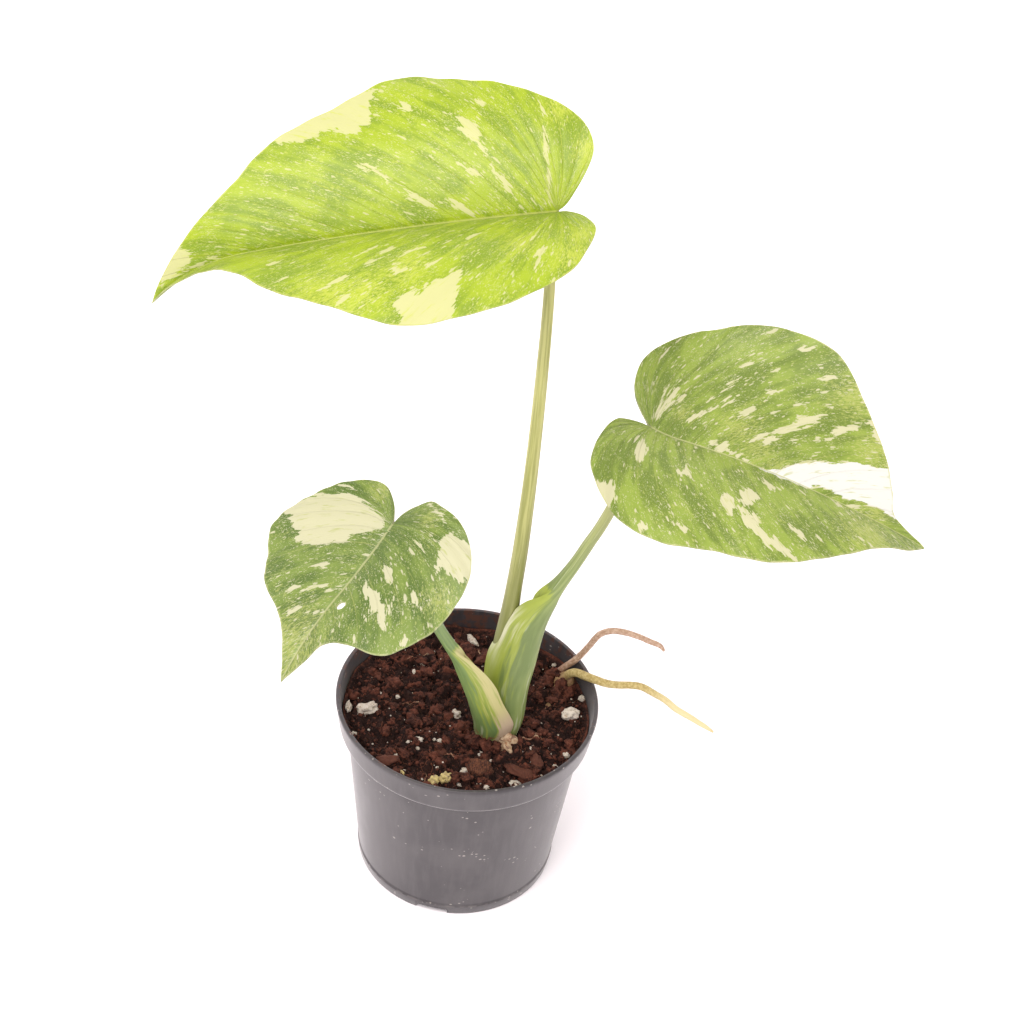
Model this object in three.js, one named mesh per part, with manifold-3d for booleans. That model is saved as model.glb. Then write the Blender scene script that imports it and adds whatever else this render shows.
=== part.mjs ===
import * as THREE from "three";
import { mergeVertices } from "three/addons/utils/BufferGeometryUtils.js";
import Module from "manifold-3d";

// A young variegated monstera in a 12 cm nursery pot. Millimetres, +Z up.
// The origin is the centre of the pot's underside, on the surface it stands on.
// The large leaf points towards -X, the right leaf towards +X, and -Y is the front.

const wasm = await Module();
wasm.setup();

const GAP = 0.3; // between two pieces that touch
const RAD = Math.PI / 180;

// Pot: injection moulded, with a rolled rim band and a foot ring.
const potHeight = 97;
const rimRadius = 60;
const lipWidth = 2;
const bandHeight = 14;
const bandFootRadius = 58.2;
const bodyTopRadius = 54.7;
const footRadius = 46.3;
const wall = 1.3;
const bandWall = 1.5;
const floorLift = 3;
const floorThickness = 1.5;
const footRingWidth = 2.4;
const centrePadRadius = 10;
const stepHeight = 5.5;
const stepFlare = 0.6; // how far the foot widens up to its step
const stepDepth = 0.4;
const notchCount = 4;
const notchWidth = 15;
const notchHeight = 3;
const notchTurn = -99;
const drainCount = 6;
const drainRadius = 4;
const drainCircle = 28;
const potSides = 48;
const drainSides = 16;

// Potting mix: coir and peat with perlite grains, bark and clods.
const soilLevel = 89;
const soilRings = 11;
const soilSides = 44;
const soilRoughness = 0.9;
const strewnRadius = 49;
const clodCount = 15;
const smallGrainCount = 12;
// The large perlite grains: x, y, length, width, turn in degrees.
const grains = [
  [-44.8, -5.2, 9, 6.5, 20],
  [-8.2, -45.3, 8.5, 5.5, -15],
  [47.5, 1.7, 8, 6, 10],
  [24.8, -40.1, 5.5, 3.6, 0],
  [-0.9, 48.7, 8, 3, -50],
  [-4.3, -1.3, 4, 4, 40],
  [2.3, -37.7, 3.8, 3, 0],
  [47.1, -20.2, 3, 2.6, 0],
  [52.6, 16.2, 3, 2.4, 0],
  [-32.1, 5.2, 2.6, 2.2, 0],
];
const barkChunk = [8.9, -35.6, 12, 8, 25];

// Stem base: a short rhizome with feeding roots down in the mix.
const crown = [14, -10];
const crownRadius = 8;
const crownTop = 85.5;
const crownFoot = 58;
const stub = { at: [20, -19.6, 84], size: [10, 8, 14], turn: -58 };
const feedingRootCount = 6;

// Blades.
const bladeThickness = 0.8;
const ribDepth = 1.6;
const bladeRows = 30;
const veinStart = 0.46; // share of the half margin whose veins all leave the petiole joint
const columns = [0, 0.045, 0.28, 0.52, 0.76, 1];
const waveHeight = 0.8;
const waveCount = 5; // along each half margin
const waveLag = 0.2; // of a wave, by which the two halves differ from a common start
const tornHole = { u: 42, v: 6, radius: 2 }; // a round hole through the small leaf
// Directions from the petiole joint, in degrees from the tip, at which the reach is given.
const rays = [0, 4, 10, 20, 35, 50, 65, 80, 95, 110, 125, 140, 155];

// Each leaf: where its joint is, how it is turned, how each half folds up (degrees) and
// curls down (1/mm), how the midrib bends (1/mm), and the reach of its outline (mm).
const largeLeaf = {
  joint: [17.4, 50, 326.9],
  turn: 184.5,
  dip: 9.7,
  roll: -11.6,
  lobeBend: 0.001,
  midBend: 0.001,
  tipBend: 0.014,
  tipStart: 129,
  left: {
    fold: 33,
    curl: 0.012,
    reach: [182, 149, 133, 120, 102, 90, 73, 60, 51, 37, 26, 10, 3],
  },
  right: {
    fold: 51,
    curl: 0.015,
    reach: [182, 157, 139, 124, 105, 94, 72, 56, 47, 39, 29, 9, 3],
  },
};
const rightLeaf = {
  joint: [66.5, 20, 245.1],
  turn: -18.4,
  dip: 16.2,
  roll: 5.8,
  lobeBend: -0.02,
  midBend: -0.024,
  tipBend: 0.003,
  tipStart: 12.8,
  left: {
    fold: 0.5,
    curl: -0.009,
    reach: [124, 108, 104, 98, 91, 87, 75, 62, 54, 44, 34, 20, 5],
  },
  right: {
    fold: 22.7,
    curl: 0.011,
    reach: [124, 119, 109, 100, 91, 77, 71, 62, 54, 47, 33, 20, 5],
  },
};
const smallLeaf = {
  joint: [-36.5, -35, 223.9],
  turn: 240.1,
  dip: 27.8,
  roll: 18,
  lobeBend: -0.004,
  midBend: -0.004,
  tipBend: 0.008,
  tipStart: 38,
  left: {
    fold: 9.4,
    curl: 0.013,
    reach: [80, 72, 61, 60, 65, 61, 54, 48, 40, 32, 24, 19, 7],
  },
  right: {
    fold: 11.4,
    curl: 0.003,
    reach: [80, 71, 63, 58, 57, 55, 55, 49, 38, 31, 25, 18, 7],
  },
};

// Petioles, as level cuts from the foot up: height, centre x and y, half sizes along and
// across the facing, and how far the channel is open (0 is a round stalk, 1 a full sheath).
// wrap is how far the two wings reach round, in degrees from the facing; body and edge are
// the sheath's thickness at its back and at its free margins.
const tallPetiole = {
  facing: 95,
  steps: 4,
  wrap: [90, 90],
  body: 0,
  edge: 0,
  cuts: [
    [88, 14.6, -8.5, 3.2, 3.2, 0],
    [100, 13.8, -6.4, 4.2, 4, 0],
    [115, 13.2, -3, 4.7, 4.5, 0],
    [130, 13.6, 0.3, 4.7, 4.6, 0],
    [145, 14.9, 4, 4.2, 4.1, 0],
    [160, 15.9, 7.6, 3.7, 3.6, 0],
    [180, 17.1, 13, 3.4, 3.4, 0],
    [213, 18.1, 22, 3, 3, 0],
    [254, 18.3, 33, 2.7, 2.7, 0],
    [292, 17.7, 42.8, 2.4, 2.4, 0],
    [325, 15.8, 50.3, 2.4, 2.4, 0],
  ],
};
const rightPetiole = {
  facing: -20,
  steps: 7,
  wrap: [160, 115],
  body: 10,
  edge: 0.9,
  cuts: [
    [86.5, 17, -9, 7.2, 6.4, 0.7],
    [97, 17.2, -8.3, 9.3, 7.4, 1],
    [112, 16.7, -5.2, 10.6, 7.8, 1],
    [126, 18, -2, 11.4, 8, 1],
    [136, 20.3, 0, 10.3, 7.4, 1],
    [145, 22.6, 1, 9.4, 6.6, 1],
    [152, 25.6, 1.8, 8.2, 5.5, 0.9],
    [157, 28.4, 2.4, 7, 4.6, 0.75],
    [161, 31.4, 3.2, 5.2, 3.9, 0.45],
    [167, 35.6, 4.4, 3.6, 3.4, 0.1],
    [177, 41, 6.2, 3, 3, 0],
    [187.5, 45.9, 8.2, 2.8, 2.8, 0],
    [202.5, 52.7, 11.2, 2.6, 2.6, 0],
    [243.4, 67.6, 19.6, 2.4, 2.4, 0],
  ],
};
const leftPetiole = {
  facing: 200,
  steps: 7,
  wrap: [105, 138],
  body: 6,
  edge: 0.9,
  cuts: [
    [84.5, 11.4, -11.4, 6.4, 6.2, 0.5],
    [90, 13, -11.8, 8.8, 7.8, 0.8],
    [97, 13.2, -12.8, 9.8, 8.6, 1],
    [103, 11.6, -13.6, 9.6, 8.4, 1],
    [112, 8.6, -15.4, 8.6, 7.4, 1],
    [122, 5.4, -17.2, 8.3, 6, 1],
    [131, 1.6, -19.2, 7.2, 4.9, 0.95],
    [140, -3, -21.4, 5.2, 3.9, 0.8],
    [147, -7.2, -23.2, 3.9, 3.2, 0.4],
    [152, -10.2, -24.4, 3.1, 3, 0.1],
    [164, -15.6, -26.8, 2.8, 2.7, 0],
    [182, -22.2, -29.7, 2.6, 2.5, 0],
    [202, -29.5, -32.8, 2.5, 2.4, 0],
    [222, -37, -35.8, 2.5, 2.4, 0],
  ],
};
const petioleRings = 18;
const stalkRoom = 0.45; // clearance of the stalks in the mix

// Aerial roots: points along the middle, from the rhizome out over the rim, and the
// thickness there.
const upperRoot = [
  [23, 2, 80, 3],
  [33, 20, 83, 3],
  [41, 30, 89.5, 2.8],
  [48.5, 29.5, 99.5, 2.7],
  [53, 28.5, 108.5, 2.6],
  [57.5, 27, 118.5, 2.6],
  [62.2, 26, 122.2, 2.5],
  [67.6, 25, 123.2, 2.5],
  [74.2, 24, 122.5, 2.4],
  [80, 23, 121, 2.3],
  [85.2, 22.5, 119.2, 2],
  [87.3, 22, 117, 1.2],
];
const lowerRoot = [
  [27, -3, 79, 4],
  [37, 12, 83, 4],
  [43, 25, 89.5, 4],
  [47.5, 23, 96.5, 4],
  [54, 17.5, 100, 3.9],
  [58.5, 15.5, 100.3, 3.8],
  [63.5, 14.5, 99.8, 3.6],
  [68.7, 13.8, 100.4, 3.4],
  [73.6, 13.2, 101.6, 3.3],
  [79, 12.5, 101.9, 3.3],
  [84.4, 11.5, 99.8, 3.2],
  [90.3, 10.5, 97.1, 3.1],
  [96, 9.5, 93, 3],
  [101.8, 8.5, 90.3, 2.8],
  [107.3, 7.5, 87.6, 2.4],
  [111, 7, 85.7, 2],
  [114.3, 6.5, 83.7, 1],
];
const rootSides = 8;
const roomSides = 6;
const upperSteps = 26;
const lowerSteps = 34;
const upperRootRoom = 0.7;
const lowerRootRoom = 0.8;
const holeTop = 112; // above all holes in the mix
const stalkTop = 400; // above all stalks

// Repeatable random numbers from 0 to 1.
function randomSource(seed) {
  let state = seed;
  return () => {
    state = (state * 16807) % 2147483647;
    return state / 2147483647;
  };
}

// A closed geometry as a solid, with its faces turned outwards.
function solid(geometry) {
  const loose = geometry.index ? geometry.toNonIndexed() : geometry;
  const bare = new THREE.BufferGeometry();
  bare.setAttribute("position", loose.getAttribute("position"));
  const merged = mergeVertices(bare, 1e-4);
  const triangles = [];
  const source = merged.index.array;
  for (let i = 0; i < source.length; i += 3) {
    const [a, b, c] = source.slice(i, i + 3);
    if (a !== b && b !== c && c !== a) triangles.push(a, b, c);
  }
  const build = (list) =>
    new wasm.Manifold(
      new wasm.Mesh({
        numProp: 3,
        vertProperties: merged.getAttribute("position").array,
        triVerts: new Uint32Array(list),
      }),
    );
  const made = build(triangles);
  return made.volume() > 0 ? made : build(triangles.reverse());
}

// A solid back as a geometry for a mesh.
function geometryOf(body) {
  const mesh = body.getMesh();
  const geometry = new THREE.BufferGeometry();
  geometry.setAttribute("position", new THREE.BufferAttribute(mesh.vertProperties, 3));
  geometry.setIndex(new THREE.BufferAttribute(mesh.triVerts, 1));
  geometry.computeVertexNormals();
  return geometry;
}

// The largest body of a solid, so that no loose scrap of a cut is kept.
function main(body) {
  return body.decompose().reduce((a, b) => (b.volume() > a.volume() ? b : a));
}

// A profile of [radius, height] points turned about +Z.
function turned(profile, sides) {
  const points = profile.map(([r, z]) => new THREE.Vector2(r, z));
  return new THREE.LatheGeometry(points, sides).rotateX(Math.PI / 2);
}

// Triangles through rings of equal length, with caps that join each ring's two halves.
function loft(rings) {
  const around = rings[0].length;
  const index = [];
  const quad = (a, b, c, d) => index.push(a, b, c, a, c, d);
  for (let i = 0; i < rings.length - 1; i++) {
    for (let j = 0; j < around; j++) {
      const next = (j + 1) % around;
      const low = i * around;
      const high = low + around;
      quad(low + j, low + next, high + next, high + j);
    }
  }
  const last = (rings.length - 1) * around;
  for (let j = 0; j < around / 2 - 1; j++) {
    const far = around - 1 - j;
    quad(far, far - 1, j + 1, j);
    quad(last + j, last + j + 1, last + far - 1, last + far);
  }
  const geometry = new THREE.BufferGeometry();
  const positions = rings.flat().flatMap((p) => [p.x, p.y, p.z]);
  geometry.setAttribute("position", new THREE.Float32BufferAttribute(positions, 3));
  geometry.setIndex(index);
  return geometry;
}

// Rows of numbers blended smoothly, at a place from 0 at the first to 1 at the last.
function blended(rows, place) {
  const at = place * (rows.length - 1);
  const i = Math.min(Math.floor(at), rows.length - 2);
  const f = at - i;
  const before = rows[Math.max(i - 1, 0)];
  const after = rows[Math.min(i + 2, rows.length - 1)];
  return rows[i].map((a, k) => {
    const b = rows[i + 1][k];
    const slopeA = (b - before[k]) / 2;
    const slopeB = (after[k] - a) / 2;
    const f2 = f * f;
    const f3 = f2 * f;
    return (
      (2 * f3 - 3 * f2 + 1) * a +
      (f3 - 2 * f2 + f) * slopeA +
      (3 * f2 - 2 * f3) * b +
      (f3 - f2) * slopeB
    );
  });
}

// A leaf half's outline from the joint, round the lobe, to the tip.
function halfOutline(side, sign) {
  const points = rays.map((ray, i) => {
    const angle = ray * RAD;
    const r = side.reach[i];
    return new THREE.Vector3(r * Math.cos(angle), sign * r * Math.sin(angle), 0);
  });
  points.push(new THREE.Vector3(0, 0, 0));
  return new THREE.CatmullRomCurve3(points.reverse(), false, "centripetal");
}

// The turn that carries a blade's own axes (tip, left edge, upper face) to the model's.
function bladeTurn(leaf) {
  return new THREE.Matrix4()
    .makeRotationZ(leaf.turn * RAD)
    .multiply(new THREE.Matrix4().makeRotationY(leaf.dip * RAD))
    .multiply(new THREE.Matrix4().makeRotationX(leaf.roll * RAD));
}

// The place in space of the blade's flat point u along and v across the midrib.
function bladePoint(leaf, turn, u, v) {
  const side = v >= 0 ? leaf.left : leaf.right;
  const fold = side.fold * RAD;
  const t = Math.abs(v);
  const out = (Math.sin(fold) - Math.sin(fold - side.curl * t)) / side.curl;
  const rise = (Math.cos(fold - side.curl * t) - Math.cos(fold)) / side.curl;
  const stretches = [
    [Math.min(u, 0), leaf.lobeBend],
    [Math.min(Math.max(u, 0), leaf.tipStart), leaf.midBend],
    [Math.max(u - leaf.tipStart, 0), leaf.tipBend],
  ];
  let slope = 0;
  let x = 0;
  let z = 0;
  for (const [length, bend] of stretches) {
    const end = slope + bend * length;
    x += (Math.sin(end) - Math.sin(slope)) / bend;
    z += (Math.cos(end) - Math.cos(slope)) / bend;
    slope = end;
  }
  const point = new THREE.Vector3(
    x + rise * Math.sin(slope),
    Math.sign(v) * out,
    z + rise * Math.cos(slope),
  );
  return point.applyMatrix4(turn).add(new THREE.Vector3(...leaf.joint));
}

// The blade's upward normal at a flat point.
function bladeNormal(leaf, turn, u, v) {
  const step = 0.5;
  const along = bladePoint(leaf, turn, u + step, v).sub(bladePoint(leaf, turn, u - step, v));
  const across = bladePoint(leaf, turn, u, v + step).sub(bladePoint(leaf, turn, u, v - step));
  return along.cross(across).normalize();
}

// One blade. Its rows follow the side veins, from the midrib out to the margin, and both
// faces are split alike. extra thickens it on both faces, to cut clearance.
function blade(leaf, extra = 0) {
  const turn = bladeTurn(leaf);
  const length = leaf.left.reach[0];
  const outlines = { 1: halfOutline(leaf.left, 1), "-1": halfOutline(leaf.right, -1) };
  const top = [];
  const under = [];
  for (let row = 0; row <= bladeRows; row++) {
    const s = row / bladeRows;
    const foot = length * Math.max(0, (s - veinStart) / (1 - veinStart));
    const ends = { 1: outlines[1].getPointAt(s), "-1": outlines[-1].getPointAt(s) };
    for (let k = 1 - columns.length; k < columns.length; k++) {
      const t = columns[Math.abs(k)];
      const end = ends[k < 0 ? -1 : 1];
      const u = foot + (end.x - foot) * t;
      const v = end.y * t;
      const normal = bladeNormal(leaf, turn, u, v);
      const taper = Math.sin(Math.PI * s) ** 0.5;
      const phase = 2 * Math.PI * (waveCount * s + waveLag * Math.sign(k));
      const wave = waveHeight * taper * t * t * Math.sin(phase);
      const rib = k === 0 ? ribDepth * (1 - foot / length) ** 0.7 : 0;
      const face = bladePoint(leaf, turn, u, v).addScaledVector(normal, wave + extra);
      top.push(face);
      under.push(face.clone().addScaledVector(normal, -bladeThickness - rib - 2 * extra));
    }
  }
  const wide = 2 * columns.length - 1;
  const index = [];
  const below = top.length;
  for (let row = 0; row < bladeRows; row++) {
    for (let k = 0; k < wide - 1; k++) {
      const a = row * wide + k;
      const b = a + 1;
      const c = a + wide;
      const d = c + 1;
      const split = k < columns.length - 1 ? [a, b, c, b, d, c] : [a, b, d, a, d, c];
      index.push(...split);
      index.push(...split.map((i) => below + i).reverse());
    }
    for (const [edge, order] of [
      [row * wide, 1],
      [row * wide + wide - 1, -1],
    ]) {
      const wallFaces = [edge, edge + wide, below + edge, below + edge, edge + wide, below + edge + wide];
      index.push(...(order > 0 ? wallFaces : wallFaces.reverse()));
    }
  }
  // The joint end and the tip are each one point on either face.
  for (const start of [0, bladeRows * wide]) {
    const middle = start + columns.length - 1;
    for (let k = 0; k < wide; k++) {
      top[start + k] = top[middle];
      under[start + k] = under[middle];
    }
  }
  const positions = [...top, ...under].flatMap((p) => [p.x, p.y, p.z]);
  const geometry = new THREE.BufferGeometry();
  geometry.setAttribute("position", new THREE.Float32BufferAttribute(positions, 3));
  geometry.setIndex(index);
  return solid(geometry);
}

// The cutter for a round hole square through a blade.
function bladeHole(leaf, { u, v, radius }) {
  const turn = bladeTurn(leaf);
  const hole = new THREE.CylinderGeometry(radius, radius, 8, 14);
  const square = new THREE.Quaternion().setFromUnitVectors(
    new THREE.Vector3(0, 1, 0),
    bladeNormal(leaf, turn, u, v),
  );
  hole.applyQuaternion(square);
  hole.translate(...bladePoint(leaf, turn, u, v).toArray());
  return solid(hole);
}

// A level cut of a petiole: a body whose two wings wrap round its channel side.
function petioleRing(spec, [z, x, y, long, wide, open]) {
  const outer = [];
  const inner = [];
  for (let i = 0; i <= 2 * spec.steps; i++) {
    const f = i / spec.steps - 1;
    const widest = f < 0 ? spec.wrap[0] : spec.wrap[1];
    const angle = f * (90 + (widest - 90) * open) * RAD;
    const cos = Math.cos(angle);
    const sin = Math.sin(angle);
    const thick = spec.edge + (spec.body - spec.edge) * Math.cos((f * Math.PI) / 2) ** 4;
    outer.push([long * cos, wide * sin]);
    const channel = [(long - thick) * cos, (wide - thick) * sin];
    const round = [-long * cos, wide * sin];
    inner.unshift(channel.map((c, k) => c * open + round[k] * (1 - open)));
  }
  const ahead = new THREE.Vector2(Math.cos(spec.facing * RAD), Math.sin(spec.facing * RAD));
  return [...outer, ...inner].map(
    ([p, q]) =>
      new THREE.Vector3(x + p * ahead.x - q * ahead.y, y + p * ahead.y + q * ahead.x, z),
  );
}

function petiole(spec) {
  const rings = [];
  for (let i = 0; i <= petioleRings; i++) {
    rings.push(petioleRing(spec, blended(spec.cuts, i / petioleRings)));
  }
  return solid(loft(rings));
}

// The room a petiole needs: its filled outline, larger by grow, up to the height top.
function petioleRoom(spec, grow, top, steps = spec.steps) {
  const filled = { ...spec, steps, wrap: [90, 90] };
  const rings = [];
  for (let i = 0; i <= petioleRings; i++) {
    const [z, x, y, long, wide] = blended(spec.cuts, i / petioleRings);
    if (z < top) rings.push(petioleRing(filled, [z, x, y, long + grow, wide + grow, 0]));
  }
  rings[0].forEach((p) => (p.z -= grow));
  return solid(loft(rings));
}

// A root through points [x, y, z, thickness], with rings square to its run.
function root(points, sides, steps, grow = 0) {
  const path = new THREE.CatmullRomCurve3(points.map((p) => new THREE.Vector3(...p.slice(0, 3))));
  const frames = path.computeFrenetFrames(steps, false);
  const rings = [];
  for (let i = 0; i <= steps; i++) {
    const place = path.getUtoTmapping(i / steps);
    const radius = blended(points, place)[3] / 2 + grow;
    const centre = path.getPoint(place);
    const ring = [];
    for (let k = 0; k < sides; k++) {
      const angle = (2 * Math.PI * k) / sides;
      ring.push(
        centre
          .clone()
          .addScaledVector(frames.normals[i], radius * Math.cos(angle))
          .addScaledVector(frames.binormals[i], radius * Math.sin(angle)),
      );
    }
    rings.push(ring);
  }
  return solid(loft(rings));
}

// A rough lump: an icosahedron with its corners moved in and out.
function lump([x, y, z], [length, width, height], turn, random, detail = 0) {
  const geometry = new THREE.IcosahedronGeometry(1, detail);
  const merged = mergeVertices(
    new THREE.BufferGeometry().setAttribute("position", geometry.getAttribute("position")),
    1e-4,
  );
  const corners = merged.getAttribute("position");
  for (let i = 0; i < corners.count; i++) {
    const push = 0.8 + 0.4 * random();
    corners.setXYZ(i, corners.getX(i) * push, corners.getY(i) * push, corners.getZ(i) * push);
  }
  merged.scale(length / 2, width / 2, height / 2);
  merged.rotateZ(turn * RAD);
  merged.translate(x, y, z);
  return solid(merged);
}

// The height of the mix at a place: low clods, a dip at the wall and a mound at the crown.
function soilHeight(x, y) {
  const fromWall = bandFootRadius - Math.hypot(x, y);
  const fromCrown = Math.hypot(x - crown[0], y - crown[1]);
  const clods = 1.1 * Math.sin(x / 7 + 1) * Math.cos(y / 6.5) + 0.6 * Math.sin(x / 3.6 + y / 4.7);
  return soilLevel + clods - 1.2 * Math.exp(-fromWall / 4) + 1.2 * Math.exp(-fromCrown / 12);
}

function makePot() {
  const bandFoot = potHeight - bandHeight;
  const innerBand = bandFootRadius - bandWall;
  const floorTop = floorLift + floorThickness;
  const stepRadius = footRadius + stepFlare;
  const innerFoot = stepRadius - wall;
  const body = solid(
    turned(
      [
        [0, 0],
        [centrePadRadius - 1, 0],
        [centrePadRadius, floorLift],
        [footRadius - footRingWidth - 0.4, floorLift],
        [footRadius - footRingWidth, 0],
        [footRadius - 0.5, 0],
        [footRadius, 0.6],
        [stepRadius, stepHeight],
        [stepRadius - stepDepth, stepHeight + 0.7],
        [bodyTopRadius, bandFoot - 0.6],
        [bandFootRadius - 0.5, bandFoot],
        [bandFootRadius, bandFoot + 0.7],
        [rimRadius - 0.2, potHeight - 1.6],
        [rimRadius - 0.1, potHeight - 0.6],
        [rimRadius - 0.7, potHeight],
        [rimRadius - lipWidth + 0.4, potHeight],
        [rimRadius - lipWidth, potHeight - 0.6],
        [innerBand, bandFoot + 1.6],
        [bodyTopRadius - wall, bandFoot + 0.6],
        [innerFoot, floorTop + 2],
        [innerFoot - 1.5, floorTop],
        [0, floorTop],
      ],
      potSides,
    ),
  );
  let pot = body;
  for (let i = 0; i < notchCount; i++) {
    const notch = new THREE.BoxGeometry(12, notchWidth, 2 * notchHeight);
    notch.translate(footRadius, 0, 0);
    notch.rotateZ((notchTurn + (360 / notchCount) * i) * RAD);
    pot = pot.subtract(solid(notch));
  }
  for (let i = 0; i < drainCount; i++) {
    const drain = new THREE.CylinderGeometry(drainRadius, drainRadius, 12, drainSides);
    drain.rotateX(Math.PI / 2);
    drain.translate(drainCircle, 0, floorLift);
    drain.rotateZ((360 / drainCount) * i * RAD);
    pot = pot.subtract(solid(drain));
  }
  return pot;
}

function makeSoil() {
  const bandFoot = potHeight - bandHeight;
  const random = randomSource(7);
  const low = floorLift + floorThickness + GAP;
  const innerFoot = footRadius + stepFlare - wall;
  const topRadius = bandFootRadius - bandWall - GAP;
  // The mix's side follows the pot's inner wall at the gap.
  const side = [
    [innerFoot - 1.5 - GAP, low],
    [innerFoot - GAP, low + 2],
    [bodyTopRadius - wall - GAP, bandFoot + 0.6 + GAP],
    [topRadius, bandFoot + 1.6 + 2 * GAP],
  ];
  const rings = [];
  const ringAt = (radius, height) => {
    const ring = [];
    for (let k = 0; k < soilSides; k++) {
      const angle = (2 * Math.PI * k) / soilSides;
      const x = radius * Math.cos(angle);
      const y = radius * Math.sin(angle);
      ring.push(new THREE.Vector3(x, y, height(x, y)));
    }
    return ring;
  };
  rings.push(ringAt(0.01, () => low));
  side.forEach(([radius, z]) => rings.push(ringAt(radius, () => z)));
  for (let i = soilRings; i > 0; i--) {
    const rough = i === soilRings ? 0 : soilRoughness;
    rings.push(ringAt((topRadius * i) / soilRings, (x, y) => soilHeight(x, y) + rough * (random() - 0.5)));
  }
  let soil = solid(loft(rings));
  const onTop = (x, y, sink) => [x, y, soilHeight(x, y) + sink];
  for (const [x, y, length, width, turn] of grains) {
    soil = soil.add(lump(onTop(x, y, 0.4), [length, width, 0.8 * width], turn, random));
  }
  const [barkX, barkY, barkLength, barkWidth, barkTurn] = barkChunk;
  soil = soil.add(lump(onTop(barkX, barkY, 0.8), [barkLength, barkWidth, 5], barkTurn, random));
  for (let i = 0; i < clodCount + smallGrainCount; i++) {
    const radius = strewnRadius * Math.sqrt(random());
    const angle = 2 * Math.PI * random();
    const size = i < clodCount ? 4 + 5 * random() : 1.6 + 1.6 * random();
    const place = onTop(radius * Math.cos(angle), radius * Math.sin(angle), 0.1 * size);
    soil = soil.add(lump(place, [size, 0.8 * size, 0.7 * size], 360 * random(), random));
  }
  return soil;
}

// The rhizome, with its cut stub in front and its feeding roots.
function makeStemBase(grow = 0) {
  const random = randomSource(31);
  const [x, y] = crown;
  const profile = [
    [0, crownFoot - grow],
    [4 + grow, crownFoot - grow],
    [crownRadius - 1 + grow, crownFoot + 8],
    [crownRadius + grow, crownTop - 8],
    [crownRadius - 0.6 + grow, crownTop - 2 + grow],
    [crownRadius - 2.2, crownTop + grow],
    [0, crownTop + grow],
  ];
  let base = solid(turned(profile, 18).translate(x, y, 0));
  const stubSize = stub.size.map((d) => d + 2 * grow);
  base = base.add(lump(stub.at, stubSize, stub.turn, randomSource(5), 1));
  for (let i = 0; i < feedingRootCount; i++) {
    const heading = (360 / feedingRootCount) * i * RAD + 0.5 * random();
    const reach = 22 + 12 * random();
    const start = crownFoot + 6 + 10 * random();
    const drop = 26 + 16 * random();
    const place = (r, z, thickness) => [
      x + r * Math.cos(heading),
      y + r * Math.sin(heading),
      z,
      thickness,
    ];
    const points = [
      place(4, start, 3),
      place(0.5 * reach, start - 0.25 * drop, 2.6),
      place(0.9 * reach, start - 0.65 * drop, 2),
      place(reach, start - drop, 1.2),
    ];
    base = base.add(root(points, 6, 7, grow));
  }
  return base;
}

function material(color, roughness) {
  return new THREE.MeshStandardMaterial({ color, roughness, metalness: 0, side: THREE.DoubleSide });
}

const plant = new THREE.Group();

function place(name, body, color, roughness) {
  const mesh = new THREE.Mesh(geometryOf(body), material(color, roughness));
  mesh.name = name;
  plant.add(mesh);
}

// Each sheath is cut back to clear what it clasps, and each petiole to clear its blade.
const tallRoom = petioleRoom(tallPetiole, GAP, stalkTop);
const rightRoom = petioleRoom(rightPetiole, GAP, stalkTop);
const leftRoom = petioleRoom(leftPetiole, GAP, stalkTop);
const tallStalk = main(petiole(tallPetiole).subtract(blade(largeLeaf, GAP)));
const rightStalk = main(
  petiole(rightPetiole).subtract(tallRoom).subtract(blade(rightLeaf, GAP)),
);
const leftStalk = main(
  petiole(leftPetiole).subtract(rightRoom).subtract(tallRoom).subtract(blade(smallLeaf, GAP)),
);
const base = main(makeStemBase().subtract(tallRoom).subtract(rightRoom).subtract(leftRoom));
const baseRoom = makeStemBase(GAP);
const lowerRoom = root(lowerRoot, rootSides, lowerSteps, GAP);
const lowerClear = main(root(lowerRoot, rootSides, lowerSteps).subtract(baseRoom));
const upperClear = main(
  root(upperRoot, rootSides, upperSteps).subtract(baseRoom).subtract(lowerRoom),
);

// Plain holes in the mix for all that stands in it.
const soilRooms = [
  ...[tallPetiole, rightPetiole, leftPetiole].map((spec) => petioleRoom(spec, stalkRoom, holeTop, 4)),
  root(upperRoot, roomSides, upperSteps, upperRootRoom),
  root(lowerRoot, roomSides, lowerSteps, lowerRootRoom),
  baseRoom,
];
const soil = main(soilRooms.reduce((body, room) => body.subtract(room), makeSoil()));

place("pot", makePot(), 0x3f4143, 0.5);
place("soil", soil, 0x2e1a14, 0.95);
place("stem_base", base, 0xc9b48c, 0.8);
place("petiole_tall", tallStalk, 0x9aa850, 0.5);
place("petiole_right", rightStalk, 0x6f9440, 0.5);
place("petiole_left", leftStalk, 0x6c9046, 0.5);
place("leaf_large", blade(largeLeaf), 0x9cc23a, 0.45);
place("leaf_right", blade(rightLeaf), 0x6e9a3c, 0.45);
place("leaf_small", blade(smallLeaf).subtract(bladeHole(smallLeaf, tornHole)), 0x5f8a36, 0.45);
place("aerial_root_upper", upperClear, 0xa98468, 0.8);
place("aerial_root_lower", lowerClear, 0xa8965a, 0.8);

export default plant;
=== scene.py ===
import math
import random

import bmesh
import bpy
import numpy as np
from mathutils import Matrix, Vector, noise


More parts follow.
